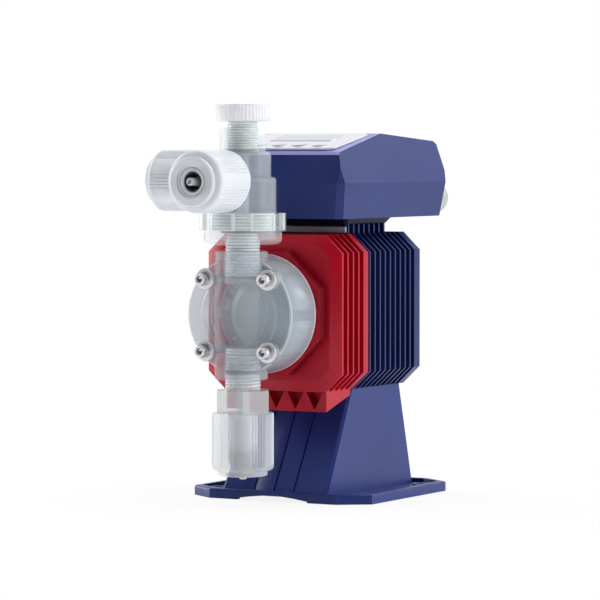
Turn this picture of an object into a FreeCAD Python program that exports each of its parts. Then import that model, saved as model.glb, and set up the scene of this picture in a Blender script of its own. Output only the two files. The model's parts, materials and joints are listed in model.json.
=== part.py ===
import FreeCAD, Part
import math
import operator
import os
from types import SimpleNamespace

import Sketcher
from FreeCAD import Placement, Rotation, Vector

# Solenoid-driven diaphragm metering pump.
# Millimetres. +Z is up, X runs to the right seen from the front, Y runs to the rear, and the pump head
# faces -Y. The origin is on the underside of the stand, at the centre of its four mounting holes.

DIMENSIONS = {
    # stand: octagonal flange with a raised rim, and a leaning hollow column
    "base_half_width": 66.8,
    "base_half_depth": 66.0,
    "base_corner_width": 19.6,
    "base_corner_depth": 13.7,
    "rim_height": 6.6,
    "rim_width": 4.4,
    "rim_rounding": 1.6,
    "floor_height": 3.8,
    "mount_spacing_across": 108.0,
    "mount_spacing_along": 84.0,
    "mount_hole_radius": 3.5,
    "mount_boss_radius": 6.4,
    "mount_boss_height": 5.2,
    "column_half_width": 39.5,
    "column_front": 64.4,
    "column_back": 57.4,
    "column_corner": 1.8,
    "deck_half_width": 36.4,
    "deck_front": 24.8,
    "deck_back": 44.0,
    "deck_thickness": 5.0,
    "column_wall": 4.2,
    "groove_pitch": 14.7,
    "groove_width": 1.3,
    "groove_depth": 1.2,
    "arch_half_chord": 26.3,
    "arch_rise": 3.3,
    "arch_step": 0.9,
    # drive: octagonal plates stacked along Y around the solenoid
    "axis_height": 123.0,
    "plate_half_width": 50.1,
    "plate_half_height": 50.9,
    "plate_corner_width": 12.4,
    "plate_corner_height": 11.7,
    "stack_front": 62.0,
    "front_plate": 2.0,
    "rib_count": 3,
    "rib_thickness": 1.7,
    "rib_pitch": 7.3,
    "red_core_depth": 7.6,
    "bracket_length": 35.5,
    "bracket_flange": 6.5,
    "plateau_rise": 4.0,
    "plateau_inset": 7.1,
    "seat_half_width": 40.0,
    "seat_rise": 8.0,
    "apron_half_width": 37.4,
    "apron_setback": 2.0,
    "apron_drop": 13.1,
    "apron_rear_drop": 3.6,
    "notch_pitch": 14.3,
    "notch_width": 12.2,
    "notch_height": 11.6,
    "notch_depth": 8.0,
    "fin_count": 9,
    "fin_pitch": 7.05,
    "fin_thickness": 1.8,
    "fin_start": 1.9,
    "fin_depth": 9.0,
    "housing_length": 72.8,
    "rear_flange": 7.9,
    "neck_half_width": 34.0,
    "neck_length": 56.0,
    "neck_height": 6.1,
    "neck_rib_depth": 3.0,
    "neck_fin_count": 8,
    "foot_half_width": 30.0,
    "foot_front_gap": 1.2,
    # solenoid in the housing
    "cavity_radius": 31.0,
    "yoke_wall": 1.6,
    "yoke_length": 46.0,
    "yoke_floor": 4.0,
    "pole_flange": 8.0,
    "pole_radius": 14.0,
    "pole_length": 23.0,
    "bobbin_wall": 1.6,
    "bobbin_flange_radius": 28.6,
    "winding_radius": 27.0,
    "armature_gap": 1.6,
    "armature_length": 26.0,
    "spring_pocket_radius": 8.6,
    "pole_pocket_depth": 6.0,
    "armature_pocket_depth": 8.0,
    "spring_radius": 6.9,
    "spring_wire": 0.8,
    "spring_turns": 5.0,
    "shaft_radius": 4.0,
    "bush_radius": 7.0,
    "bush_length": 14.0,
    "stop_radius": 5.0,
    "stop_head_radius": 9.0,
    "stop_head": 2.0,
    "stroke": 1.0,
    "cover_radius": 36.0,
    "cover_thickness": 5.0,
    "cover_boss_radius": 12.0,
    "cover_boss_rise": 3.0,
    "knob_radius": 17.0,
    "knob_length": 13.0,
    "knob_flutes": 18,
    "knob_flute_radius": 1.4,
    "tie_place": 31.0,
    "tie_radius": 2.0,
    "tie_head_radius": 3.5,
    "tie_depth": 22.0,
    "cover_screw_place": 30.0,
    "base_screw_across": 22.0,
    "base_screw_front": 12.0,
    "base_screw_back": 32.0,
    # diaphragm and pump head
    "diaphragm_radius": 29.0,
    "diaphragm_rim": 3.0,
    "diaphragm_skin": 1.4,
    "chamber_radius": 24.0,
    "chamber_depth": 4.4,
    "insert_radius": 15.0,
    "insert_thickness": 3.0,
    "head_radius": 39.5,
    "head_depth": 28.5,
    "head_edge": 1.5,
    "head_skin": 3.4,
    "pocket_outer_radius": 36.2,
    "pocket_depth": 22.0,
    "pocket_count": 8,
    "pocket_rib": 7.0,
    "valve_reach": 29.0,
    "valve_boss_radius": 15.9,
    "valve_boss_half_height": 41.1,
    "nose_radius": 23.0,
    "nose_depth": 15.8,
    "valve_bore_radius": 11.4,
    "valve_bore_depth": 21.0,
    "passage_radius": 3.0,
    "bolt_pitch": 46.2,
    "bolt_boss_radius": 7.0,
    "bolt_boss_rise": 9.0,
    "bolt_radius": 2.5,
    "bolt_head_radius": 4.25,
    "bolt_head_height": 5.0,
    "bolt_socket_radius": 2.3,
    "bolt_socket_depth": 2.5,
    "washer_radius": 6.65,
    "washer_thickness": 1.1,
    "spring_washer_radius": 4.6,
    "spring_washer_thickness": 1.4,
    "bolt_thread_depth": 14.0,
    # valve trains
    "ball_radius": 4.76,
    "ball_lift": 1.5,
    "guide_bore_radius": 5.1,
    "seat_bore_radius": 3.2,
    "seat_thickness": 3.4,
    "o_ring_radius": 1.25,
    "spigot_radius": 11.3,
    "suction_spigot": 10.0,
    "hex_top": 74.9,
    "hex_bottom": 60.5,
    "hex_across_flats": 33.0,
    "hex_bore_radius": 4.0,
    "port_radius": 9.5,
    "port_bore_radius": 3.4,
    "port_length": 21.2,
    "ring_bottom": 168.3,
    "ring_top": 188.4,
    "ring_radius": 25.0,
    "ring_lug_radius": 27.9,
    "ring_lug_width": 9.0,
    "ring_lug_height": 11.0,
    "ring_lug_count": 6,
    "ring_lip": 3.2,
    "ring_thread_radius": 21.2,
    "union_flange_radius": 18.0,
    "union_flange": 3.8,
    "vent_body_radius": 21.5,
    "vent_body_top": 211.3,
    "vent_shoulder_radius": 18.2,
    "vent_shoulder_top": 227.8,
    "vent_collar_radius": 14.7,
    "vent_collar_top": 243.2,
    "vent_bore_radius": 9.9,
    "vent_bore_bottom": 226.4,
    "port_height": 209.0,
    "port_boss_radius": 14.0,
    "vent_knob_bottom": 247.0,
    "vent_knob_top": 258.0,
    "vent_knob_radius": 16.95,
    "vent_neck_radius": 9.8,
    # tube nuts, nipples and ferrules
    "nut_length": 37.1,
    "nut_radius": 19.9,
    "nut_chamfer": 2.2,
    "nut_step_radius": 15.85,
    "nut_step": 3.4,
    "nut_hole_radius": 6.6,
    "nut_face_ring_radius": 10.5,
    "nut_face_ring_depth": 1.2,
    "nut_floor": 8.0,
    "nipple_radius": 2.45,
    "nipple_bore_radius": 1.3,
    "nipple_tip": 2.4,
    "nipple_cone_radius": 4.35,
    "nipple_cone_low": -13.5,
    "nipple_cone_top": -5.0,
    "nipple_flange_radius": 8.6,
    "nipple_flange": 3.0,
    "ferrule_radius": 9.2,
    "ferrule_bore_radius": 4.7,
    "ferrule_length": 8.0,
    "discharge_reach": 64.0,
    # controller
    "collar_height": 4.0,
    "collar_lip": 1.5,
    "case_bottom": 184.1,
    "case_belly": 207.2,
    "case_half_width": 50.0,
    "case_front": 62.0,
    "case_back": 88.5,
    "case_bottom_inset": 3.2,
    "case_corner": 4.0,
    "case_wall": 2.6,
    "lid_side_lean": 7.0,
    "lid_front_lean": 3.5,
    "lid_back_lean": 7.4,
    "lid_front_top": 227.6,
    "ridge_top": 239.5,
    "ridge_place": 3.0,
    "lid_back_top": 234.7,
    "panel_half_width": 38.0,
    "panel_margin": 5.0,
    "panel_thickness": 1.2,
    "panel_corner": 4.0,
    "key_radius": 4.6,
    "key_height": 1.5,
    "key_gap": 0.7,
    "key_stem_radius": 2.0,
    "key_stem_length": 6.0,
    "key_pitch": 15.0,
    "key_place": 16.0,
    "window_half_width": 23.0,
    "window_half_height": 9.5,
    "window_place": 40.0,
    "window_thickness": 0.8,
    "board_half_width": 37.0,
    "board_front": 48.0,
    "board_back": 62.0,
    "board_height": 194.0,
    "board_thickness": 1.6,
    "post_radius": 4.6,
    "post_place_across": 40.0,
    "post_place_front": 50.0,
    "post_place_back": 70.0,
    "case_screw_radius": 1.8,
    "case_screw_head_radius": 3.2,
    "case_screw_head": 2.6,
    "gland_across": 32.0,
    "gland_height": 196.0,
    "gland_radius": 10.5,
    "gland_thread_radius": 7.6,
    "gland_bore_radius": 3.6,
    "gland_collar": 6.0,
    "gland_nut_length": 16.5,
    # fits
    "running_gap": 0.05,
    "seat_gap": 0.1,
    "free_gap": 0.3,
}

OPERATIONS = {"+": operator.add, "-": operator.sub, "*": operator.mul, "/": operator.truediv}


class Size:
    """A dimension: its value now and the spreadsheet formula that drives it."""

    def __init__(self, value, formula):
        self.value = value
        self.formula = formula

    def joined(self, other, sign):
        other = as_size(other)
        value = OPERATIONS[sign](self.value, other.value)
        return Size(value, f"({self.formula} {sign} {other.formula})")

    def __add__(self, other):
        return self.joined(other, "+")

    def __sub__(self, other):
        return self.joined(other, "-")

    def __mul__(self, other):
        return self.joined(other, "*")

    def __truediv__(self, other):
        return self.joined(other, "/")

    def __rsub__(self, other):
        return as_size(other) - self

    def __neg__(self):
        return Size(-self.value, f"(0 - {self.formula})")

    __radd__ = __add__
    __rmul__ = __mul__


def as_size(number):
    """A Size as it is, or a plain number as a Size."""
    if isinstance(number, Size):
        return number
    return Size(float(number), f"{float(number)}")


def sheet_sizes(doc, dimensions):
    """Write the dimensions into the document's spreadsheet and hand them back by name."""
    sheet = doc.addObject("Spreadsheet::Sheet", "sizes")
    for row, (alias, value) in enumerate(dimensions.items(), start=1):
        sheet.set(f"A{row}", alias)
        sheet.set(f"B{row}", str(value))
        sheet.setAlias(f"B{row}", alias)
    doc.recompute()
    return SimpleNamespace(**{alias: Size(value, f"sizes.{alias}") for alias, value in dimensions.items()})


doc = FreeCAD.newDocument("metering_pump")
dim = sheet_sizes(doc, DIMENSIONS)

# Places that several pieces share
FRONT = -dim.stack_front
SEAT = FRONT - dim.plateau_rise - dim.seat_rise
BRACKET_BACK = FRONT + dim.bracket_length
HOUSING_BACK = BRACKET_BACK + dim.housing_length
VALVE_Y = SEAT - dim.valve_reach
HEAD_FRONT = SEAT - dim.head_depth
BOSS_TOP = dim.axis_height + dim.valve_boss_half_height
BOSS_BOTTOM = dim.axis_height - dim.valve_boss_half_height
UPPER_BORE = BOSS_TOP - dim.valve_bore_depth
LOWER_BORE = BOSS_BOTTOM + dim.valve_bore_depth
NECK_TOP = dim.plate_half_height + dim.neck_height
SLOPE = math.atan2(
    (dim.ridge_top - dim.lid_front_top).value,
    (dim.ridge_place + dim.case_front - dim.lid_front_lean).value,
)


def bind(thing, path, size):
    """Set one number of an object and drive it from the sheet."""
    size = as_size(size)
    if "." not in path:
        setattr(thing, path, size.value)
    thing.setExpression(path, size.formula)


def origin_part(body, role):
    """An axis or plane of a body's own origin."""
    return next(part for part in body.Origin.OriginFeatures if part.Role == role)


def new_body(label, place=(0, 0, 0), turn=None):
    """A body with its label and its driven place."""
    body = doc.addObject("PartDesign::Body", label)
    body.Label = label
    place = [as_size(value) for value in place]
    body.Placement = Placement(Vector(*[value.value for value in place]), turn or Rotation())
    for letter, value in zip("xyz", place):
        body.setExpression(f"Placement.Base.{letter}", value.formula)
    return body


def new_sketch(body, name, role, lift=0):
    """An empty sketch on a plane of the body's origin, lifted along that plane's normal."""
    sketch = body.newObject("Sketcher::SketchObject", f"{body.Name}_{name}")
    sketch.AttachmentSupport = [(origin_part(body, role), "")]
    sketch.MapMode = "FlatFace"
    lift = as_size(lift)
    sketch.AttachmentOffset = Placement(Vector(0, 0, lift.value), Rotation())
    sketch.setExpression("AttachmentOffset.Base.z", lift.formula)
    return sketch


def fix_point(sketch, geometry, point, u, v):
    """Drive one point of a sketch from the origin."""
    for kind, size in (("DistanceX", as_size(u)), ("DistanceY", as_size(v))):
        index = sketch.addConstraint(Sketcher.Constraint(kind, -1, 1, geometry, point, size.value))
        sketch.setExpression(f"Constraints[{index}]", size.formula)


def polygon(sketch, corners):
    """A closed outline whose corners are driven."""
    corners = [(as_size(u), as_size(v)) for u, v in corners]
    first = sketch.GeometryCount
    count = len(corners)
    for index, (u, v) in enumerate(corners):
        end_u, end_v = corners[(index + 1) % count]
        start = Vector(u.value, v.value, 0)
        sketch.addGeometry(Part.LineSegment(start, Vector(end_u.value, end_v.value, 0)))
    for index in range(count):
        following = first + (index + 1) % count
        sketch.addConstraint(Sketcher.Constraint("Coincident", first + index, 2, following, 1))
    for index, (u, v) in enumerate(corners):
        fix_point(sketch, first + index, 1, u, v)
    return sketch


def circle(sketch, u, v, radius):
    """A driven circle."""
    u, v, radius = as_size(u), as_size(v), as_size(radius)
    ring = Part.Circle(Vector(u.value, v.value, 0), Vector(0, 0, 1), radius.value)
    index = sketch.addGeometry(ring)
    fix_point(sketch, index, 3, u, v)
    constraint = sketch.addConstraint(Sketcher.Constraint("Radius", index, radius.value))
    sketch.setExpression(f"Constraints[{constraint}]", radius.formula)
    return sketch


def box_corners(left, right, low, high):
    """The corners of an upright rectangle."""
    return [(left, low), (right, low), (right, high), (left, high)]


def cut_corners(half_u, low_v, high_v, cut_u, cut_v):
    """The corners of a rectangle, symmetric in u, with its four corners cut off."""
    return [
        (half_u, low_v + cut_v),
        (half_u, high_v - cut_v),
        (half_u - cut_u, high_v),
        (cut_u - half_u, high_v),
        (-half_u, high_v - cut_v),
        (-half_u, low_v + cut_v),
        (cut_u - half_u, low_v),
        (half_u - cut_u, low_v),
    ]


def extrude(body, kind, sketch, length, back=False, both=False):
    """Pad or pocket a sketch."""
    feature = body.newObject(f"PartDesign::{kind}", f"{sketch.Name}_{kind.lower()}")
    feature.Profile = sketch
    bind(feature, "Length", length)
    feature.Reversed = back
    feature.SideType = "Symmetric" if both else "One side"
    sketch.Visibility = False
    return feature


def pad(body, sketch, length, back=False, both=False):
    return extrude(body, "Pad", sketch, length, back, both)


def pocket(body, sketch, length, back=False, both=False):
    return extrude(body, "Pocket", sketch, length, back, both)


def turned(body, name, corners, kind="Revolution", plane="XZ_Plane", axis="V_Axis"):
    """Turn an outline into a solid, or with kind Groove out of one."""
    sketch = polygon(new_sketch(body, name, plane), corners)
    feature = body.newObject(f"PartDesign::{kind}", f"{sketch.Name}_{kind.lower()}")
    feature.Profile = sketch
    feature.ReferenceAxis = (sketch, [axis])
    feature.Angle = 360
    return feature


def turned_y(body, name, corners, kind="Revolution"):
    """As turned, about Y: each corner is a place along Y and a radius."""
    return turned(body, name, corners, kind, "YZ_Plane", "H_Axis")


def slab(body, name, corners, front, thickness, cut=False):
    """An outline seen from the front, made solid from one Y place towards the rear, or cut out."""
    sketch = polygon(new_sketch(body, name, "XZ_Plane", -as_size(front)), corners)
    if cut:
        return pocket(body, sketch, thickness)
    return pad(body, sketch, thickness, back=True)


def round_slab(body, name, places, radius, front, thickness, cut=False):
    """Round bars or holes along Y, from one Y place towards the rear."""
    sketch = new_sketch(body, name, "XZ_Plane", -as_size(front))
    for x, z in places:
        circle(sketch, x, z, radius)
    if cut:
        return pocket(body, sketch, thickness)
    return pad(body, sketch, thickness, back=True)


def round_post(body, name, places, radius, low, height, cut=False):
    """Round posts or holes along Z, from one height upwards."""
    sketch = new_sketch(body, name, "XY_Plane", low)
    for x, y in places:
        circle(sketch, x, y, radius)
    if cut:
        return pocket(body, sketch, height, back=True)
    return pad(body, sketch, height)


def repeated(body, feature, role, span, count):
    """Repeat a feature in a row along an axis of the body."""
    pattern = body.newObject("PartDesign::LinearPattern", f"{feature.Name}_row")
    pattern.Originals = [feature]
    pattern.Direction = (origin_part(body, role), [""])
    bind(pattern, "Length", span)
    pattern.Occurrences = int(as_size(count).value)
    if isinstance(count, Size):
        pattern.setExpression("Occurrences", count.formula)
    body.Tip = pattern
    return pattern


def ringed(body, feature, count, role="Z_Axis"):
    """Repeat a feature round an axis of the body."""
    pattern = body.newObject("PartDesign::PolarPattern", f"{feature.Name}_ring")
    pattern.Originals = [feature]
    pattern.Axis = (origin_part(body, role), [""])
    pattern.Angle = 360
    pattern.Occurrences = int(as_size(count).value)
    if isinstance(count, Size):
        pattern.setExpression("Occurrences", count.formula)
    body.Tip = pattern
    return pattern


def octagon(inset=0):
    """The drive's plate outline about its axis, drawn in all round by an inset."""
    side = math.tan(math.radians(22.5))
    inset = as_size(inset)
    return cut_corners(
        dim.plate_half_width - inset,
        inset - dim.plate_half_height,
        dim.plate_half_height - inset,
        dim.plate_corner_width - inset * (1 - side),
        dim.plate_corner_height - inset * (1 - side),
    )


def four(across, along):
    """Four places at the corners of a rectangle about the origin."""
    return [(x, y) for x in (-across, across) for y in (-along, along)]


def base_stand():
    """The stand: rimmed flange, leaning column hollow from below, grooves, arches and mounting holes."""
    body = new_body("base_stand")
    outer = cut_corners(
        dim.base_half_width,
        -dim.base_half_depth,
        dim.base_half_depth,
        dim.base_corner_width,
        dim.base_corner_depth,
    )
    flange = pad(body, polygon(new_sketch(body, "flange", "XY_Plane"), outer), dim.rim_height)
    doc.recompute()
    rim_edges = [
        f"Edge{number}"
        for number, edge in enumerate(flange.Shape.Edges, start=1)
        if min(vertex.Z for vertex in edge.Vertexes) > dim.rim_height.value - 0.01
    ]
    rounding = body.newObject("PartDesign::Fillet", "rim_rounding_fillet")
    rounding.Base = (flange, rim_edges)
    bind(rounding, "Radius", dim.rim_rounding)
    inner = cut_corners(
        dim.base_half_width - dim.rim_width,
        dim.rim_width - dim.base_half_depth,
        dim.base_half_depth - dim.rim_width,
        dim.base_corner_width - dim.rim_width * 0.5,
        dim.base_corner_depth - dim.rim_width * 0.3,
    )
    floor = polygon(new_sketch(body, "floor", "XY_Plane", dim.rim_height), inner)
    pocket(body, floor, dim.rim_height - dim.floor_height)
    half_across = dim.mount_spacing_across / 2
    half_along = dim.mount_spacing_along / 2
    boss_rise = dim.mount_boss_height - dim.floor_height
    mounts = four(half_across, half_along)
    round_post(body, "mount_boss", mounts, dim.mount_boss_radius, dim.floor_height, boss_rise)

    corner = dim.column_corner
    foot = cut_corners(dim.column_half_width, -dim.column_front, dim.column_back, corner, corner)
    deck = cut_corners(dim.deck_half_width, -dim.deck_front, dim.deck_back, corner, corner)
    low = polygon(new_sketch(body, "column_foot", "XY_Plane", dim.floor_height), foot)
    high = polygon(new_sketch(body, "column_deck", "XY_Plane", dim.axis_height - dim.plate_half_height), deck)
    column = body.newObject("PartDesign::AdditiveLoft", "column")
    column.Profile = low
    column.Sections = [high]
    column.Ruled = True

    # The hollow keeps the wall at the floor and under the deck, and runs out through the underside.
    wall = dim.column_wall
    deck_height = dim.axis_height - dim.plate_half_height
    rise = deck_height - dim.floor_height
    reach = dim.floor_height / rise
    front_run = (dim.column_front - dim.deck_front) * reach
    back_run = (dim.column_back - dim.deck_back) * reach
    side_run = (dim.column_half_width - dim.deck_half_width) * reach
    mouth = cut_corners(
        dim.column_half_width + side_run - wall,
        wall - dim.column_front - front_run,
        dim.column_back + back_run - wall,
        corner,
        corner,
    )
    shrink = (rise - dim.deck_thickness) / rise
    roof = cut_corners(
        dim.column_half_width - (dim.column_half_width - dim.deck_half_width) * shrink - wall,
        (dim.column_front - dim.deck_front) * shrink + wall - dim.column_front,
        dim.column_back - (dim.column_back - dim.deck_back) * shrink - wall,
        corner,
        corner,
    )
    mouth_sketch = polygon(new_sketch(body, "hollow_mouth", "XY_Plane", 0), mouth)
    roof_sketch = polygon(new_sketch(body, "hollow_roof", "XY_Plane", deck_height - dim.deck_thickness), roof)
    hollow = body.newObject("PartDesign::SubtractiveLoft", "hollow")
    hollow.Profile = mouth_sketch
    hollow.Sections = [roof_sketch]
    hollow.Ruled = True

    # Three grooves follow the leaning front face.
    top_of_slope = deck_height + 1
    slope_run = (dim.column_front - dim.deck_front) / rise
    inside = dim.groove_depth
    strip = [
        (-dim.column_front - 1, dim.floor_height),
        (inside - dim.column_front, dim.floor_height),
        (inside - dim.column_front + slope_run * (top_of_slope - dim.floor_height), top_of_slope),
        (slope_run * (top_of_slope - dim.floor_height) - dim.column_front - 1, top_of_slope),
    ]
    groove = polygon(new_sketch(body, "groove", "YZ_Plane", -dim.groove_pitch), strip)
    groove_cut = pocket(body, groove, dim.groove_width, both=True)
    repeated(body, groove_cut, "X_Axis", dim.groove_pitch * 2, 3)

    # A shallow arch lifts the front and rear edges between the feet.
    chord = dim.arch_half_chord
    waist = chord * 0.62
    crown = dim.arch_rise
    arch = [
        (-chord, -1),
        (chord, -1),
        (chord, dim.arch_step),
        (waist, dim.arch_step + (crown - dim.arch_step) * 0.62),
        (waist * 0.42, crown),
        (-waist * 0.42, crown),
        (-waist, dim.arch_step + (crown - dim.arch_step) * 0.62),
        (-chord, dim.arch_step),
    ]
    slab(body, "arch", arch, -dim.base_half_depth - 1, dim.base_half_depth * 2 + 2, cut=True)
    through = dim.mount_boss_height + 2
    round_post(body, "mount_hole", mounts, dim.mount_hole_radius, -1, through, cut=True)
    screw_places = base_screw_places()
    bore = dim.bolt_radius + dim.seat_gap
    start = deck_height - dim.deck_thickness - 1
    round_post(body, "screw_hole", screw_places, bore, start, dim.deck_thickness + 2, cut=True)
    return body


def base_screw_places():
    """The places of the four screws between the stand and the housing."""
    return [
        (x, y) for x in (-dim.base_screw_across, dim.base_screw_across)
        for y in (-dim.base_screw_front, dim.base_screw_back)
    ]


def under_screws():
    """Four cap screws from the hollow of the stand up into the drive, and four that close the case."""
    body = new_body("under_screws")
    under = dim.axis_height - dim.plate_half_height - dim.deck_thickness
    places = base_screw_places()
    head_low = under - dim.bolt_head_height
    round_post(body, "stand_head", places, dim.bolt_head_radius, head_low, dim.bolt_head_height)
    round_post(body, "stand_shank", places, dim.bolt_radius, under, dim.deck_thickness + 8)
    round_post(body, "stand_socket", places, dim.bolt_socket_radius, head_low, dim.bolt_socket_depth, cut=True)
    places = post_places()
    low = dim.case_bottom + 1.4
    round_post(body, "case_head", places, dim.case_screw_head_radius, low, dim.case_screw_head)
    shank = low + dim.case_screw_head
    round_post(body, "case_shank", places, dim.case_screw_radius, shank, dim.case_belly + 9 - shank)
    round_post(body, "case_socket", places, dim.case_screw_radius * 0.6, low - 1, 2.2, cut=True)
    return body


def front_bracket():
    """The red bracket: bevelled plateau with an octagonal seat, core, rear flange and apron."""
    body = new_body("front_bracket", (0, 0, dim.axis_height))
    slab(body, "core", octagon(dim.red_core_depth), FRONT, dim.bracket_length)
    slab(body, "front_plate", octagon(), FRONT, dim.front_plate)
    outer = polygon(new_sketch(body, "bevel_foot", "XZ_Plane", -FRONT), octagon())
    inner_place = dim.plateau_rise - FRONT
    inner = polygon(new_sketch(body, "bevel_top", "XZ_Plane", inner_place), octagon(dim.plateau_inset))
    bevel = body.newObject("PartDesign::AdditiveLoft", "plateau")
    bevel.Profile = outer
    bevel.Sections = [inner]
    bevel.Ruled = True
    seat_cut = dim.seat_half_width * (2 - math.sqrt(2))
    half = dim.seat_half_width
    slab(body, "seat", cut_corners(half, -half, half, seat_cut, seat_cut), SEAT, dim.seat_rise)
    flange_front = BRACKET_BACK - dim.bracket_flange
    slab(body, "flange", octagon(), flange_front, dim.bracket_flange)

    # The apron hangs below the plates and its underside rises towards the stand.
    front = FRONT + dim.apron_setback
    top = dim.red_core_depth - dim.plate_half_height
    apron = [
        (front, top),
        (front, -dim.plate_half_height - dim.apron_drop),
        (BRACKET_BACK - 1.2, -dim.plate_half_height - dim.apron_rear_drop),
        (BRACKET_BACK - 1.2, top),
    ]
    apron_sketch = polygon(new_sketch(body, "apron", "YZ_Plane"), apron)
    pad(body, apron_sketch, dim.apron_half_width * 2, both=True)
    half_notch = dim.notch_width / 2
    first = -dim.notch_pitch * 2
    notch = [
        (first - half_notch, -dim.plate_half_height - 0.3),
        (first, -dim.plate_half_height - 0.3 - dim.notch_height),
        (first + half_notch, -dim.plate_half_height - 0.3),
    ]
    cut = slab(body, "notch", notch, front - 0.5, dim.notch_depth + 0.5, cut=True)
    repeated(body, cut, "X_Axis", dim.notch_pitch * 4, 5)

    # Stepped bore: diaphragm space, front bush and the shaft's way through to the solenoid.
    insert_room = dim.insert_radius + 4
    space = dim.insert_thickness + dim.stroke + 3
    shaft_way = dim.shaft_radius + 1
    bush_front = FRONT + 2
    bush_back = bush_front + dim.bush_length
    bore = [
        (SEAT - 1, 0),
        (SEAT - 1, insert_room),
        (SEAT + space, insert_room),
        (SEAT + space, shaft_way),
        (bush_front, shaft_way),
        (bush_front, dim.bush_radius + dim.seat_gap / 2),
        (bush_back, dim.bush_radius + dim.seat_gap / 2),
        (bush_back, shaft_way + 6),
        (BRACKET_BACK + 1, shaft_way + 6),
        (BRACKET_BACK + 1, 0),
    ]
    turned_y(body, "bore", bore, "Groove")
    half_pitch = dim.bolt_pitch / 2
    thread = dim.bolt_thread_depth + 2
    bolt_bore = dim.bolt_radius + dim.seat_gap
    round_slab(body, "bolt_hole", four(half_pitch, half_pitch), bolt_bore, SEAT - 1, thread + 1, cut=True)
    tie_bore = dim.tie_radius + dim.seat_gap
    tie_start = BRACKET_BACK - dim.tie_depth
    ties = four(dim.tie_place, dim.tie_place)
    round_slab(body, "tie_hole", ties, tie_bore, tie_start, dim.tie_depth + 1, cut=True)
    return body


def bracket_ribs():
    """The thin ribs round the bracket's core, open at the apron."""
    body = new_body("bracket_ribs", (0, 0, dim.axis_height))
    front = FRONT + dim.rib_pitch
    span = dim.rib_pitch * (dim.rib_count - 1)
    rib = slab(body, "rib", octagon(), front, dim.rib_thickness)
    repeated(body, rib, "Y_Axis", span, dim.rib_count)
    length = span + dim.rib_thickness + 2
    slab(body, "core_room", octagon(dim.red_core_depth), front - 1, length, cut=True)
    side = dim.apron_half_width
    apron_room = box_corners(-side, side, -dim.plate_half_height - 1, as_size(0))
    slab(body, "apron_room", apron_room, front - 1, length, cut=True)
    return body


def drive_housing():
    """The housing of the solenoid with its rear flange, foot and top neck."""
    body = new_body("drive_housing", (0, 0, dim.axis_height))
    slab(body, "core", octagon(dim.fin_depth), BRACKET_BACK, dim.housing_length)
    slab(body, "rear_flange", octagon(), HOUSING_BACK - dim.rear_flange, dim.rear_flange)
    foot_length = dim.housing_length - dim.foot_front_gap
    inner_height = dim.fin_depth - dim.plate_half_height
    foot_front = BRACKET_BACK + dim.foot_front_gap
    foot = box_corners(-dim.foot_half_width, dim.foot_half_width, -dim.plate_half_height, inner_height)
    slab(body, "foot", foot, foot_front, foot_length - 3)

    # The neck carries the controller.
    neck_side = dim.neck_half_width - dim.neck_rib_depth
    neck = box_corners(-neck_side, neck_side, -inner_height, NECK_TOP)
    slab(body, "neck", neck, BRACKET_BACK + 0.5, dim.neck_length)

    # Solenoid cavity, adjuster bore, cable duct and screw holes
    cavity_back = pole_front() + dim.pole_flange + dim.yoke_length + dim.free_gap
    stop_bore = dim.stop_radius + dim.running_gap
    cavity = [
        (BRACKET_BACK - 1, 0),
        (BRACKET_BACK - 1, dim.cavity_radius),
        (cavity_back, dim.cavity_radius),
        (cavity_back, stop_bore),
        (HOUSING_BACK + 1, stop_bore),
        (HOUSING_BACK + 1, 0),
    ]
    turned_y(body, "cavity", cavity, "Groove")
    duct_low = dim.cavity_radius - 2
    round_post(body, "duct", [(0, 0)], 6, duct_low, NECK_TOP - duct_low + 1, cut=True)
    ties = four(dim.tie_place, dim.tie_place)
    tie_bore = dim.tie_radius + dim.seat_gap
    round_slab(body, "tie_hole", ties, tie_bore, BRACKET_BACK - 1, dim.housing_length + 2, cut=True)
    round_slab(body, "cover_screw_hole", cover_screw_places(), tie_bore, HOUSING_BACK - 9, 10, cut=True)
    bore = dim.bolt_radius + dim.seat_gap
    low = -dim.plate_half_height - 1
    round_post(body, "base_screw_hole", base_screw_places(), bore, low, 10.5, cut=True)
    return body


def housing_fins():
    """The cooling fins that wrap both flanks of the housing and run up the sides of its neck."""
    body = new_body("housing_fins", (0, 0, dim.axis_height))
    front = BRACKET_BACK + dim.fin_start
    span = dim.fin_pitch * (dim.fin_count - 1)
    fin = slab(body, "fin", octagon(), front, dim.fin_thickness)
    repeated(body, fin, "Y_Axis", span, dim.fin_count)
    horn = box_corners(-dim.neck_half_width, dim.neck_half_width, as_size(0), NECK_TOP)
    neck_fin = slab(body, "neck_fin", horn, front, dim.fin_thickness)
    repeated(body, neck_fin, "Y_Axis", dim.fin_pitch * (dim.neck_fin_count - 1), dim.neck_fin_count)
    length = span + dim.fin_thickness + 2
    slab(body, "core_room", octagon(dim.fin_depth), front - 1, length, cut=True)
    neck_side = dim.neck_half_width - dim.neck_rib_depth
    neck = box_corners(-neck_side, neck_side, as_size(0), NECK_TOP + 1)
    slab(body, "neck_room", neck, front - 1, length, cut=True)
    foot = box_corners(-dim.foot_half_width, dim.foot_half_width, -dim.plate_half_height - 1, as_size(0))
    slab(body, "foot_room", foot, front - 1, length, cut=True)
    return body


def cover_screw_places():
    """Four places round the adjuster, one on each side."""
    place = dim.cover_screw_place
    return [(place, as_size(0)), (-place, as_size(0)), (as_size(0), place), (as_size(0), -place)]


def screws_along_y(body, name, places, head, face, shank):
    """Cap screws whose heads stand on a rear face and whose shanks run forwards."""
    radius = dim.tie_radius
    round_slab(body, f"{name}_head", places, dim.tie_head_radius, face, head)
    round_slab(body, f"{name}_shank", places, radius, face - shank, shank)
    round_slab(body, f"{name}_socket", places, radius * 0.75, face + head / 2, head / 2 + 1, cut=True)


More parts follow.
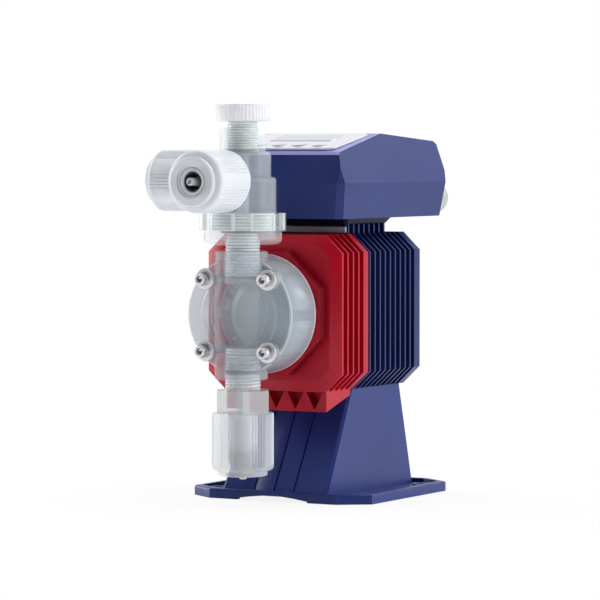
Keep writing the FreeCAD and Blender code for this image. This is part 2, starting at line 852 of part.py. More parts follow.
def rear_screws():
    """Four long screws that hold the housing against the bracket, and four short ones in the rear cover."""
    body = new_body("rear_screws", (0, 0, dim.axis_height))
    shank = dim.housing_length + dim.tie_depth - 2
    screws_along_y(body, "tie", four(dim.tie_place, dim.tie_place), dim.tie_radius * 2, HOUSING_BACK, shank)
    face = HOUSING_BACK + dim.cover_thickness
    screws_along_y(body, "cover", cover_screw_places(), as_size(2.6), face, dim.cover_thickness + 7)
    return body


def rear_cover():
    """The round cover behind the solenoid, with a boss for the stroke adjuster."""
    body = new_body("rear_cover", (0, 0, dim.axis_height))
    bore = dim.stop_radius + dim.running_gap
    face = HOUSING_BACK + dim.cover_thickness
    outline = [
        (HOUSING_BACK, bore),
        (HOUSING_BACK, dim.cover_radius),
        (face - 1, dim.cover_radius),
        (face, dim.cover_radius - 1),
        (face, dim.cover_boss_radius),
        (face + dim.cover_boss_rise, dim.cover_boss_radius),
        (face + dim.cover_boss_rise, bore),
    ]
    turned_y(body, "plate", outline)
    bore = dim.tie_radius + dim.seat_gap
    thickness = dim.cover_thickness + 2
    round_slab(body, "screw_hole", cover_screw_places(), bore, HOUSING_BACK - 1, thickness, cut=True)
    return body


def stop_front():
    """Y place of the adjuster's tip, one stroke and a gap behind the armature."""
    return armature_front() + dim.armature_length + dim.stroke + dim.free_gap


def knob_front():
    """Y place of the adjusting knob's front face, one stroke and a gap behind the cover's boss."""
    boss = HOUSING_BACK + dim.cover_thickness + dim.cover_boss_rise
    return boss + dim.stroke + dim.free_gap


def stroke_stop():
    """The adjusting spindle: a head that stops the armature and a thread that runs to the knob."""
    body = new_body("stroke_stop", (0, 0, dim.axis_height))
    tip = stop_front()
    end = knob_front() + dim.knob_length * 0.6
    outline = [
        (tip, 0),
        (tip, dim.stop_head_radius),
        (tip + dim.stop_head, dim.stop_head_radius),
        (tip + dim.stop_head, dim.stop_radius),
        (end, dim.stop_radius),
        (end, 0),
    ]
    turned_y(body, "spindle", outline)
    return body


def stroke_knob():
    """The fluted knob that sets the stroke length."""
    body = new_body("stroke_knob", (0, 0, dim.axis_height))
    front = knob_front()
    back = front + dim.knob_length
    bore = dim.stop_radius + dim.running_gap
    bore_end = front + dim.knob_length * 0.6 + dim.free_gap
    radius = dim.knob_radius
    outline = [
        (front, bore),
        (front, radius),
        (back - 1.5, radius - 1),
        (back, radius - 2.5),
        (back, 0),
        (bore_end, 0),
        (bore_end, bore),
    ]
    turned_y(body, "knob", outline)
    sketch = new_sketch(body, "flute", "XZ_Plane", -front + 1)
    circle(sketch, radius + dim.knob_flute_radius * 0.35, 0, dim.knob_flute_radius)
    flute = pocket(body, sketch, dim.knob_length + 2)
    ringed(body, flute, dim.knob_flutes, "Y_Axis")
    return body


def pole_front():
    """Y place of the solenoid's front face, just behind the bracket."""
    return BRACKET_BACK + dim.seat_gap


def armature_front():
    """Y place of the armature's front face at rest."""
    return pole_front() + dim.pole_length + dim.armature_gap


def solenoid():
    """Yoke, bobbin, winding, pole and armature, all turned about the drive's axis."""
    place = (0, 0, dim.axis_height)
    front = pole_front()
    yoke_radius = dim.cavity_radius - dim.seat_gap
    yoke_inner = yoke_radius - dim.yoke_wall
    flange_back = front + dim.pole_flange
    yoke_end = flange_back + dim.yoke_length
    bobbin_bore = dim.pole_radius + dim.free_gap
    yoke = new_body("solenoid_yoke", place)
    outline = [
        (flange_back, yoke_inner),
        (flange_back, yoke_radius),
        (yoke_end, yoke_radius),
        (yoke_end, bobbin_bore),
        (yoke_end - dim.yoke_floor, bobbin_bore),
        (yoke_end - dim.yoke_floor, yoke_inner),
    ]
    turned_y(yoke, "cup", outline)

    bobbin = new_body("coil_bobbin", place)
    tube = bobbin_bore + dim.bobbin_wall
    bobbin_end = yoke_end - dim.yoke_floor - dim.seat_gap
    bobbin_front = flange_back + dim.seat_gap
    outline = [
        (bobbin_front, bobbin_bore),
        (bobbin_front, dim.bobbin_flange_radius),
        (bobbin_front + dim.bobbin_wall, dim.bobbin_flange_radius),
        (bobbin_front + dim.bobbin_wall, tube),
        (bobbin_end - dim.bobbin_wall, tube),
        (bobbin_end - dim.bobbin_wall, dim.bobbin_flange_radius),
        (bobbin_end, dim.bobbin_flange_radius),
        (bobbin_end, bobbin_bore),
    ]
    turned_y(bobbin, "spool", outline)

    winding = new_body("coil_winding", place)
    start = bobbin_front + dim.bobbin_wall + dim.seat_gap
    end = bobbin_end - dim.bobbin_wall - dim.seat_gap
    outline = box_corners(start, end, tube + dim.running_gap, dim.winding_radius)
    turned_y(winding, "winding", outline)

    pole = new_body("pole_core", place)
    pocket_start = front + dim.pole_length - dim.pole_pocket_depth
    way = dim.shaft_radius + 0.6
    outline = [
        (front, way),
        (front, yoke_radius),
        (flange_back, yoke_radius),
        (flange_back, dim.pole_radius),
        (front + dim.pole_length, dim.pole_radius),
        (front + dim.pole_length, dim.spring_pocket_radius),
        (pocket_start, dim.spring_pocket_radius),
        (pocket_start, way),
    ]
    turned_y(pole, "pole", outline)

    armature = new_body("armature", place)
    begin = armature_front()
    pocket_end = begin + dim.armature_pocket_depth
    outline = [
        (begin, dim.spring_pocket_radius),
        (begin, dim.pole_radius),
        (begin + dim.armature_length, dim.pole_radius),
        (begin + dim.armature_length, 0),
        (pocket_end + 4, 0),
        (pocket_end + 4, dim.shaft_radius + 0.02),
        (pocket_end, dim.shaft_radius + 0.02),
        (pocket_end, dim.spring_pocket_radius),
    ]
    turned_y(armature, "armature", outline)

    shaft = new_body("plunger_shaft", place)
    shaft_front = SEAT + dim.insert_thickness + dim.free_gap
    outline = box_corners(shaft_front, pocket_end + 3.9, 0, dim.shaft_radius)
    turned_y(shaft, "shaft", outline)

    bush = new_body("shaft_bush", place)
    bush_front = FRONT + 2
    inner = dim.shaft_radius + dim.running_gap
    outline = box_corners(bush_front, bush_front + dim.bush_length, inner, dim.bush_radius)
    turned_y(bush, "bush", outline)
    spring_front = pocket_start + dim.seat_gap
    return return_spring(spring_front, pocket_end - dim.seat_gap)


def return_spring(front, back):
    """The helical spring that pushes the armature back."""
    wire = dim.spring_wire.value
    length = (back - front).value - wire * 2
    radius = dim.spring_radius.value
    helix = Part.makeHelix(length / dim.spring_turns.value, length, radius)
    section = Part.Wire(Part.makeCircle(wire, Vector(radius, 0, 0), Vector(0, 1, 0)))
    coil = Part.Wire(helix.Edges).makePipeShell([section], True, True)
    spring = doc.addObject("Part::Feature", "return_spring")
    spring.Label = "return_spring"
    spring.Shape = coil
    place = Vector(0, (front.value + wire), dim.axis_height.value)
    spring.Placement = Placement(place, Rotation(Vector(1, 0, 0), -90))
    return spring


def diaphragm():
    """The diaphragm with its clamped rim, thin fold and thick centre, and the plate behind it."""
    place = (0, 0, dim.axis_height)
    body = new_body("diaphragm", place)
    back = SEAT
    skin = dim.diaphragm_skin
    rim = dim.diaphragm_rim
    fold = dim.chamber_radius - 1
    outline = [
        (back, 0),
        (back, dim.diaphragm_radius),
        (back - rim, dim.diaphragm_radius),
        (back - rim, fold + 2),
        (back - skin, fold),
        (back - skin, dim.insert_radius + 2),
        (back - rim - 1, dim.insert_radius - 1),
        (back - rim - 1, 0),
    ]
    turned_y(body, "disc", outline)
    plate = new_body("diaphragm_retainer", place)
    start = SEAT + dim.free_gap
    outline = [
        (start, 0),
        (start, dim.insert_radius - 1),
        (start + 1, dim.insert_radius),
        (start + dim.insert_thickness - 1, dim.insert_radius),
        (start + dim.insert_thickness, dim.insert_radius - 1),
        (start + dim.insert_thickness, 0),
    ]
    turned_y(plate, "plate", outline)
    return body


def pump_head():
    """The clear head: cored disc, valve boss, round nose, bolt bosses, valve bores and chamber."""
    body = new_body("pump_head", (0, 0, dim.axis_height))
    edge = dim.head_edge
    disc = [
        (SEAT, 0),
        (SEAT, dim.head_radius),
        (HEAD_FRONT + edge, dim.head_radius),
        (HEAD_FRONT, dim.head_radius - edge),
        (HEAD_FRONT, dim.nose_radius),
        (HEAD_FRONT - dim.nose_depth + 4, dim.nose_radius - 1),
        (HEAD_FRONT - dim.nose_depth + 1, dim.nose_radius - 4),
        (HEAD_FRONT - dim.nose_depth, dim.nose_radius - 8),
        (HEAD_FRONT - dim.nose_depth, 0),
    ]
    turned_y(body, "disc", disc)
    sketch = new_sketch(body, "valve_boss", "XY_Plane", -dim.valve_boss_half_height)
    circle(sketch, 0, VALVE_Y, dim.valve_boss_radius)
    pad(body, sketch, dim.valve_boss_half_height * 2)
    half_pitch = dim.bolt_pitch / 2
    bolts = four(half_pitch, half_pitch)
    boss_front = HEAD_FRONT - dim.bolt_boss_rise
    round_slab(body, "bolt_boss", bolts, dim.bolt_boss_radius, boss_front, dim.bolt_boss_rise + 2)

    # Coring pockets from the rear leave radial ribs between them.
    inner = dim.diaphragm_radius + 1.6
    half_turn = math.pi / dim.pocket_count.value
    half_rib = dim.pocket_rib.value / 2
    outer = dim.pocket_outer_radius
    inner_angle = math.asin(half_rib / inner.value)
    outer_angle = math.asin(half_rib / outer.value)
    middle = math.cos(half_turn)
    cell = [
        (inner * math.cos(inner_angle), inner * math.sin(inner_angle)),
        (outer * math.cos(outer_angle), outer * math.sin(outer_angle)),
        (outer * middle, outer * math.sin(half_turn)),
        (outer * math.cos(2 * half_turn - outer_angle), outer * math.sin(2 * half_turn - outer_angle)),
        (inner * math.cos(2 * half_turn - inner_angle), inner * math.sin(2 * half_turn - inner_angle)),
        (inner * middle, inner * math.sin(half_turn)),
    ]
    pocket_front = SEAT - dim.pocket_depth
    cut = slab(body, "coring", cell, pocket_front, dim.pocket_depth + 1, cut=True)
    ringed(body, cut, dim.pocket_count, "Y_Axis")

    # Chamber behind the diaphragm's face, its rim recess, and the passages to both valves
    rim = dim.diaphragm_radius + dim.seat_gap
    chamber = [
        (SEAT + 1, 0),
        (SEAT + 1, rim),
        (SEAT - dim.diaphragm_rim - 0.02, rim),
        (SEAT - dim.diaphragm_rim - 0.02, dim.chamber_radius),
        (SEAT - dim.diaphragm_rim - dim.chamber_depth, dim.chamber_radius - 6),
        (SEAT - dim.diaphragm_rim - dim.chamber_depth, 0),
    ]
    turned_y(body, "chamber", chamber, "Groove")
    boss = dim.valve_boss_half_height
    for name, low, height in (
        ("upper_bore", boss - dim.valve_bore_depth, dim.valve_bore_depth + 1),
        ("lower_bore", -boss - 1, dim.valve_bore_depth + 1),
    ):
        bore = new_sketch(body, name, "XY_Plane", low)
        circle(bore, 0, VALVE_Y, dim.valve_bore_radius)
        pocket(body, bore, height, back=True)
    passage_z = 14
    for name, low in (("upper_passage", passage_z - 4), ("lower_passage", dim.valve_bore_depth - boss - 1)):
        passage = new_sketch(body, name, "XY_Plane", low)
        circle(passage, 0, VALVE_Y, dim.passage_radius)
        pocket(body, passage, boss - dim.valve_bore_depth + 1 - passage_z + 4, back=True)
    cross = [(0, passage_z), (0, -passage_z)]
    reach = dim.valve_reach - dim.diaphragm_rim
    round_slab(body, "cross_passage", cross, dim.passage_radius, VALVE_Y, reach, cut=True)
    bore = dim.bolt_radius + dim.seat_gap
    depth = dim.head_depth + dim.bolt_boss_rise + 2
    round_slab(body, "bolt_hole", bolts, bore, boss_front - 1, depth, cut=True)
    return body


def head_fasteners():
    """Four cap screws with plain and spring washers on the head's bolt bosses."""
    place = (0, 0, dim.axis_height)
    half_pitch = dim.bolt_pitch / 2
    places = four(half_pitch, half_pitch)
    bore = dim.bolt_radius + dim.seat_gap
    face = HEAD_FRONT - dim.bolt_boss_rise
    for label, radius, thickness in (
        ("head_washers", dim.washer_radius, dim.washer_thickness),
        ("head_spring_washers", dim.spring_washer_radius, dim.spring_washer_thickness),
    ):
        face = face - thickness
        washer = new_body(label, place)
        sketch = new_sketch(washer, "ring", "XZ_Plane", -face)
        for x, z in places:
            circle(sketch, x, z, radius)
            circle(sketch, x, z, bore)
        pad(washer, sketch, thickness, back=True)
    bolts = new_body("head_bolts", place)
    top = face - dim.bolt_head_height
    round_slab(bolts, "head", places, dim.bolt_head_radius, top, dim.bolt_head_height)
    round_slab(bolts, "shank", places, dim.bolt_radius, face, SEAT + dim.bolt_thread_depth - face)
    round_slab(bolts, "socket", places, dim.bolt_socket_radius, top - 1, dim.bolt_socket_depth + 1, cut=True)
    return bolts


def on_valve_axis(label):
    """A body on the vertical valve axis."""
    return new_body(label, (0, VALVE_Y, 0))


def o_ring(label, low, radius):
    """A ring of round section, drawn with flats that touch what it seals."""
    body = on_valve_axis(label)
    wire = dim.o_ring_radius
    flat = wire * 0.414
    middle = radius
    outline = [
        (middle - flat, low),
        (middle + flat, low),
        (middle + wire, low + wire - flat),
        (middle + wire, low + wire + flat),
        (middle + flat, low + wire * 2),
        (middle - flat, low + wire * 2),
        (middle - wire, low + wire + flat),
        (middle - wire, low + wire - flat),
    ]
    turned(body, "ring", outline)
    return body


def valve_train(prefix, low, top, outer):
    """Seat, guide and ball of one check valve, stacked upwards from a height."""
    seat = on_valve_axis(f"{prefix}_valve_seat")
    seat_top = low + dim.seat_thickness
    cone = dim.guide_bore_radius - dim.seat_bore_radius
    outline = [
        (dim.seat_bore_radius, low),
        (outer, low),
        (outer, seat_top),
        (dim.guide_bore_radius, seat_top),
        (dim.seat_bore_radius, seat_top - cone),
    ]
    turned(seat, "seat", outline)

    # A 45 degree cone touches the ball where its radius is 0.7071 of the ball's.
    ball = on_valve_axis(f"{prefix}_valve_ball")
    contact = dim.ball_radius * math.sqrt(2)
    centre = seat_top - cone - dim.seat_bore_radius + contact + dim.seat_gap * 2
    sketch = new_sketch(ball, "half", "XZ_Plane")
    radius = dim.ball_radius
    arc = Part.ArcOfCircle(
        Part.Circle(Vector(0, centre.value, 0), Vector(0, 0, 1), radius.value), -math.pi / 2, math.pi / 2
    )
    sketch.addGeometry(arc)
    top_point = Vector(0, (centre + radius).value, 0)
    low_point = Vector(0, (centre - radius).value, 0)
    sketch.addGeometry(Part.LineSegment(top_point, low_point))
    sketch.addConstraint(Sketcher.Constraint("Coincident", 0, 2, 1, 1))
    sketch.addConstraint(Sketcher.Constraint("Coincident", 0, 1, 1, 2))
    fix_point(sketch, 1, 1, 0, centre + radius)
    fix_point(sketch, 1, 2, 0, centre - radius)
    sketch.addConstraint(Sketcher.Constraint("PointOnObject", 0, 3, -2))
    feature = ball.newObject("PartDesign::Revolution", f"{prefix}_ball_turned")
    feature.Profile = sketch
    feature.ReferenceAxis = (sketch, ["V_Axis"])
    feature.Angle = 360

    guide = on_valve_axis(f"{prefix}_valve_guide")
    cap = centre + radius + dim.ball_lift + dim.free_gap
    outline = [
        (dim.guide_bore_radius, seat_top),
        (outer, seat_top),
        (outer, top),
        (dim.seat_bore_radius, top),
        (dim.seat_bore_radius, cap),
        (dim.guide_bore_radius, cap),
    ]
    turned(guide, "cage", outline)
    return guide


def suction_side():
    """O-ring, check valve, hex fitting and tube port below the head."""
    spigot_top = BOSS_BOTTOM + dim.suction_spigot - 6.6
    ring_top = spigot_top + dim.o_ring_radius * 2
    bore = dim.valve_bore_radius - dim.seat_gap
    o_ring("suction_o_ring", spigot_top, bore - dim.o_ring_radius)
    valve_train("suction", ring_top, LOWER_BORE - dim.seat_gap, bore)

    body = on_valve_axis("suction_fitting")
    half_flat = dim.hex_across_flats / 2
    corner = half_flat * (2 / math.sqrt(3))
    hexagon = [
        (corner, 0),
        (corner / 2, half_flat),
        (-corner / 2, half_flat),
        (-corner, 0),
        (-corner / 2, -half_flat),
        (corner / 2, -half_flat),
    ]
    sketch = polygon(new_sketch(body, "hexagon", "XY_Plane", dim.hex_bottom), hexagon)
    pad(body, sketch, dim.hex_top - dim.hex_bottom)
    stem = [
        (0, dim.hex_bottom - dim.port_length),
        (dim.port_radius, dim.hex_bottom - dim.port_length),
        (dim.port_radius, dim.hex_bottom + 1),
        (dim.spigot_radius, dim.hex_top - 1),
        (dim.spigot_radius, spigot_top),
        (0, spigot_top),
    ]
    turned(body, "stem", stem)
    bore = [
        (0, dim.hex_bottom - dim.port_length - 1),
        (dim.hex_bore_radius, dim.hex_bottom - dim.port_length - 1),
        (dim.hex_bore_radius, spigot_top + 1),
        (0, spigot_top + 1),
    ]
    turned(body, "bore", bore, "Groove")
    down = Rotation(Vector(1, 0, 0), 180)
    nut_face = dim.hex_bottom - dim.nut_length - dim.nut_step - dim.seat_gap
    tube_joint("suction", (0, VALVE_Y, nut_face), down)
    return body


def tube_joint(prefix, end, turn):
    """Tube nut, nipple and ferrule. Locally the outer face lies at zero and outwards is up."""
    nut = new_body(f"{prefix}_nut", end, turn)
    step = dim.nut_step
    inner_end = -(dim.nut_length + step)
    floor = -dim.nut_floor
    thread = dim.port_radius + dim.seat_gap * 2
    outline = [
        (dim.nut_hole_radius, floor),
        (dim.nut_hole_radius, -dim.nut_face_ring_depth),
        (dim.nut_face_ring_radius, -dim.nut_face_ring_depth),
        (dim.nut_face_ring_radius, 0),
        (dim.nut_step_radius, 0),
        (dim.nut_step_radius, -step),
        (dim.nut_radius - dim.nut_chamfer, -step),
        (dim.nut_radius, -step - dim.nut_chamfer),
        (dim.nut_radius, inner_end),
        (thread, inner_end),
        (thread, floor),
    ]
    turned(nut, "nut", outline)

    nipple = new_body(f"{prefix}_nipple", end, turn)
    port_end = inner_end + dim.port_length
    flange_top = port_end + dim.nipple_flange + dim.seat_gap
    start = port_end + dim.seat_gap
    outline = [
        (dim.nipple_bore_radius, start),
        (dim.nipple_flange_radius, start),
        (dim.nipple_flange_radius, flange_top),
        (dim.nipple_cone_radius, flange_top),
        (dim.nipple_cone_radius, dim.nipple_cone_low),
        (dim.nipple_radius, dim.nipple_cone_top),
        (dim.nipple_radius, dim.nipple_tip - 0.6),
        (dim.nipple_radius - 0.6, dim.nipple_tip),
        (dim.nipple_bore_radius, dim.nipple_tip),
    ]
    turned(nipple, "nipple", outline)

    ferrule = new_body(f"{prefix}_ferrule", end, turn)
    top = floor - dim.seat_gap
    low = top - dim.ferrule_length
    outline = [
        (dim.ferrule_bore_radius, low),
        (dim.ferrule_radius - 2.5, low),
        (dim.ferrule_radius, low + 4),
        (dim.ferrule_radius, top),
        (dim.ferrule_bore_radius, top),
    ]
    turned(ferrule, "ferrule", outline)
    return nut


def discharge_side():
    """Check valve, union fitting, ring nut and vent body with its two ports."""
    bore = dim.valve_bore_radius - dim.seat_gap
    low = UPPER_BORE + dim.seat_gap
    spigot_low = low + dim.seat_thickness + 15
    valve_train("discharge", low, spigot_low, bore)

    fitting = on_valve_axis("discharge_fitting")
    flange_low = dim.ring_bottom + dim.ring_lip + dim.free_gap
    flange_top = flange_low + dim.union_flange
    inner = dim.hex_bore_radius
    outline = [
        (inner, spigot_low),
        (dim.spigot_radius, spigot_low),
        (dim.spigot_radius, flange_low),
        (dim.union_flange_radius, flange_low),
        (dim.union_flange_radius, flange_top),
        (inner, flange_top),
    ]
    turned(fitting, "union", outline)
    o_ring("discharge_o_ring", flange_top, dim.union_flange_radius - 5)

    ring = on_valve_axis("ring_nut")
    thread = dim.ring_thread_radius + dim.seat_gap * 2
    neck = dim.spigot_radius + dim.free_gap
    lip = dim.ring_bottom + dim.ring_lip
    round_off = dim.ring_lip
    outline = [
        (neck, dim.ring_bottom),
        (dim.ring_radius - round_off, dim.ring_bottom),
        (dim.ring_radius - round_off * 0.3, dim.ring_bottom + round_off * 0.3),
        (dim.ring_radius, dim.ring_bottom + round_off),
        (dim.ring_radius, dim.ring_top),
        (thread, dim.ring_top),
        (thread, lip),
        (neck, lip),
    ]
    turned(ring, "ring", outline)
    lug_low = dim.ring_top - dim.ring_lug_height
    half = dim.ring_lug_width
    bite = dim.ring_thread_radius + 1.5
    lug = polygon(new_sketch(ring, "lug", "XY_Plane", lug_low), box_corners(-half, half, -dim.ring_lug_radius, -bite))
    ringed(ring, pad(ring, lug, dim.ring_lug_height), dim.ring_lug_count)
    rim = [
        (dim.ring_lug_radius, lug_low - 1),
        (dim.ring_lug_radius + 8, lug_low - 1),
        (dim.ring_lug_radius + 8, dim.ring_top + 1),
        (dim.ring_lug_radius, dim.ring_top + 1),
    ]
    turned(ring, "lug_trim", rim, "Groove")
    return vent_body(flange_top + dim.o_ring_radius * 2)


def vent_body(low):
    """The clear cross piece with the collar for the vent knob and the two tube ports."""
    body = on_valve_axis("vent_body")
    outline = [
        (0, low),
        (dim.ring_thread_radius, low),
        (dim.ring_thread_radius, dim.ring_top + dim.free_gap),
        (dim.vent_body_radius, dim.ring_top + dim.free_gap),
        (dim.vent_body_radius, dim.vent_body_top - 1),
        (dim.vent_body_radius - 1, dim.vent_body_top),
        (dim.vent_shoulder_radius, dim.vent_body_top),
        (dim.vent_shoulder_radius, dim.vent_shoulder_top - 2.5),
        (dim.vent_shoulder_radius - 0.8, dim.vent_shoulder_top - 0.8),
        (dim.vent_shoulder_radius - 2.5, dim.vent_shoulder_top),
        (dim.vent_collar_radius, dim.vent_shoulder_top),
        (dim.vent_collar_radius, dim.vent_collar_top),
        (0, dim.vent_collar_top),
    ]
    turned(body, "cross", outline)
    port = dim.discharge_reach - dim.nut_length - dim.nut_step + dim.port_length
    root = dim.discharge_reach - dim.nut_length - dim.nut_step - dim.free_gap * 2
    for name, role in (("discharge", "XZ_Plane"), ("air", "YZ_Plane")):
        for part, radius, length in (("boss", dim.port_boss_radius, root), ("port", dim.port_radius, port)):
            sketch = circle(new_sketch(body, f"{name}_{part}", role), 0, dim.port_height, radius)
            pad(body, sketch, length, back=role == "YZ_Plane")
    bore = dim.hex_bore_radius
    inner = [
        (0, low - 1),
        (dim.union_flange_radius - 3, low - 1),
        (dim.union_flange_radius - 3, low),
        (bore, low + 5),
        (bore, dim.vent_bore_bottom - 3),
        (dim.vent_bore_radius, dim.vent_bore_bottom),
        (dim.vent_bore_radius, dim.vent_collar_top + 1),
        (0, dim.vent_collar_top + 1),
    ]
    turned(body, "bore", inner, "Groove")
    for name, role in (("discharge", "XZ_Plane"), ("air", "YZ_Plane")):
        sketch = circle(new_sketch(body, f"{name}_bore", role), 0, dim.port_height, dim.port_bore_radius)
        pocket(body, sketch, port + 1, back=role == "XZ_Plane")
    return body


def vent_parts():
    """The air vent's knob with its threaded neck, and the ring that seals under it."""
    o_ring("vent_o_ring", dim.vent_bore_bottom, dim.vent_bore_radius - dim.o_ring_radius - dim.seat_gap)
    body = on_valve_axis("vent_knob")
    neck_low = dim.vent_bore_bottom + dim.o_ring_radius * 2 + dim.free_gap
    neck = dim.vent_bore_radius - dim.running_gap
    radius = dim.vent_knob_radius
    outline = [
        (0, neck_low),
        (neck, neck_low),
        (neck, dim.vent_knob_bottom),
        (radius - 0.8, dim.vent_knob_bottom),
        (radius, dim.vent_knob_bottom + 0.8),
        (radius, dim.vent_knob_top - 1),
        (radius - 1, dim.vent_knob_top),
        (0, dim.vent_knob_top),
    ]
    turned(body, "knob", outline)
    return body


def neck_collar():
    """The dark collar between the neck and the controller, with an apron over the neck's front."""
    body = new_body("neck_collar")
    low = dim.axis_height + NECK_TOP
    front = BRACKET_BACK - 1
    back = BRACKET_BACK + dim.neck_length
    half = dim.neck_half_width
    foot = cut_corners(half, front, back, 2, 2)
    lip = dim.collar_lip
    crown = cut_corners(half + lip, front - lip, back + lip * 4, 2, 2)
    low_sketch = polygon(new_sketch(body, "foot", "XY_Plane", low), foot)
    high_sketch = polygon(new_sketch(body, "crown", "XY_Plane", low + dim.collar_height), crown)
    loft = body.newObject("PartDesign::AdditiveLoft", "collar_loft")
    loft.Profile = low_sketch
    loft.Sections = [high_sketch]
    loft.Ruled = True
    drop = dim.neck_height - 0.6
    apron = box_corners(-half, half, low - drop, low)
    slab(body, "apron", apron, front - 0.5, 1.5)
    round_post(body, "duct", [(0, 0)], 6, low - 1, dim.collar_height + 2, cut=True)
    return body


def case_outline(inset, lift=0):
    """The controller's plan outline, drawn in by an inset."""
    corner = dim.case_corner
    front = inset - dim.case_front
    back = dim.case_back - inset
    return cut_corners(dim.case_half_width - inset, front, back, corner, corner)


def post_places():
    """The four case screws' places."""
    return [
        (x, y) for x in (-dim.post_place_across, dim.post_place_across)
        for y in (-dim.post_place_front, dim.post_place_back)
    ]


def controller_case():
    """The lower half of the controller's case, with screw posts and cable entries."""
    body = new_body("controller_case")
    low = polygon(
        new_sketch(body, "bottom", "XY_Plane", dim.case_bottom), case_outline(dim.case_bottom_inset)
    )
    high = polygon(new_sketch(body, "belly", "XY_Plane", dim.case_belly), case_outline(as_size(0)))
    loft = body.newObject("PartDesign::AdditiveLoft", "case_shell")
    loft.Profile = low
    loft.Sections = [high]
    loft.Ruled = True
    wall = dim.case_wall
    floor = dim.case_bottom + wall
    inner = case_outline(dim.case_bottom_inset + wall)
    hollow = polygon(new_sketch(body, "hollow", "XY_Plane", floor), inner)
    pocket(body, hollow, dim.case_belly - floor + 1, back=True)
    posts = post_places()
    height = dim.case_belly - dim.case_bottom - 1
    round_post(body, "post", posts, dim.post_radius, dim.case_bottom + 1, height)
    bore = dim.case_screw_radius + dim.seat_gap
    round_post(body, "screw_hole", posts, bore, dim.case_bottom - 1, height + 3, cut=True)
    head = dim.case_screw_head_radius + dim.seat_gap
    head_depth = dim.case_screw_head + 1.4
    round_post(body, "head_hole", posts, head, dim.case_bottom - 1, head_depth + 1, cut=True)
    round_post(body, "duct", [(0, 0)], 6, dim.case_bottom - 1, wall + 2, cut=True)
    glands = [(x, dim.gland_height) for x in (-dim.gland_across, dim.gland_across)]
    wall_back = dim.case_back - dim.case_bottom_inset
    wall_front = wall_back - wall - 1
    round_slab(body, "gland_hole", glands, dim.gland_thread_radius + dim.seat_gap, wall_front, 12, cut=True)
    round_slab(body, "gland_face", glands, dim.gland_radius + dim.free_gap, wall_back, 9, cut=True)
    stands = [
        (x, y) for x in (8 - dim.board_half_width, dim.board_half_width - 8)
        for y in (6 - dim.board_front, dim.board_back - 6)
    ]
    round_post(body, "board_post", stands, 3, dim.case_bottom + 1, dim.board_height - dim.case_bottom - 1)
    return body


def controller_lid():
    """The upper half of the case: sloped roof for the panel, ridge, and leaning sides."""
    body = new_body("controller_lid")
    belly = dim.case_belly
    front = -dim.case_front
    profile = [
        (front, belly),
        (dim.case_back, belly),
        (dim.case_back - dim.lid_back_lean, dim.lid_back_top - 2),
        (dim.case_back - dim.lid_back_lean - 4, dim.lid_back_top),
        (dim.ridge_place + 1.5, dim.ridge_top),
        (dim.ridge_place - 1.5, dim.ridge_top - 0.3),
        (front + dim.lid_front_lean + 2, dim.lid_front_top),
        (front + dim.lid_front_lean, dim.lid_front_top - 2),
    ]
    side = polygon(new_sketch(body, "side", "YZ_Plane"), profile)
    pad(body, side, dim.case_half_width * 2, both=True)
    top = dim.ridge_top + 1
    lean = dim.lid_side_lean / (dim.ridge_top - belly)
    for name, sign in (("right", 1), ("left", -1)):
        wedge = [
            (dim.case_half_width * sign, belly),
            ((dim.case_half_width - lean * (top - belly)) * sign, top),
            ((dim.case_half_width + 2) * sign, top),
            ((dim.case_half_width + 2) * sign, belly),
        ]
        slab(body, f"{name}_lean", wedge, front - 1, dim.case_front + dim.case_back + 2, cut=True)
        for end, place, away in (("front", -dim.case_front, 1), ("back", dim.case_back, -1)):
            edge = dim.case_half_width * sign
            corner = [
                (edge + 1 * sign, place - 1 * away),
                (edge - dim.case_corner * sign, place - 1 * away),
                (edge - dim.case_corner * sign, place),
                (edge, place + dim.case_corner * away),
                (edge + 1 * sign, place + dim.case_corner * away),
            ]
            sketch = polygon(new_sketch(body, f"{name}_{end}_corner", "XY_Plane", belly - 1), corner)
            pocket(body, sketch, dim.ridge_top - belly + 2, back=True)
    wall = dim.case_wall
    room = [
        (front + wall + 4, belly - 1),
        (dim.case_back - wall - 5, belly - 1),
        (dim.case_back - dim.lid_back_lean - wall - 5, dim.lid_back_top - wall - 1.5),
        (dim.ridge_place, dim.ridge_top - wall - 0.5),
        (front + dim.lid_front_lean + wall + 4, dim.lid_front_top - wall - 0.5),
    ]
    inner = polygon(new_sketch(body, "room", "YZ_Plane"), room)
    pocket(body, inner, (dim.case_half_width - dim.lid_side_lean - wall) * 2, both=True)
    posts = post_places()
    round_post(body, "post", posts, dim.post_radius - 0.4, belly, 16)
    round_post(body, "post_hole", posts, dim.case_screw_radius + dim.seat_gap, belly - 1, 12, cut=True)
    key_holes(body, dim.key_stem_radius + dim.running_gap, -8)
    return body


def slope_placement():
    """A frame on the panel slope: origin at its front edge, u along X, v up the slope, w outwards."""
    place = (0, dim.lid_front_lean - dim.case_front, dim.lid_front_top)
    return place, Rotation(Vector(1, 0, 0), math.degrees(SLOPE))


def key_places():
    """The keys' places on the slope."""
    return [(dim.key_pitch * step, dim.key_place) for step in (-1.5, -0.5, 0.5, 1.5)]


def key_holes(body, radius, low):
    """Cut the keys' stem holes through the sloped roof."""
    sketch = new_sketch(body, "key_hole", "XY_Plane")
    place, turn = slope_placement()
    offset = Placement(Vector(*[as_size(value).value for value in place]), turn)
    sketch.AttachmentOffset = offset.multiply(Placement(Vector(0, 0, low), Rotation()))
    sketch.setExpression("AttachmentOffset.Base.z", None)
    for x, y in key_places():
        circle(sketch, x, y, radius)
    pocket(body, sketch, 20, back=True)


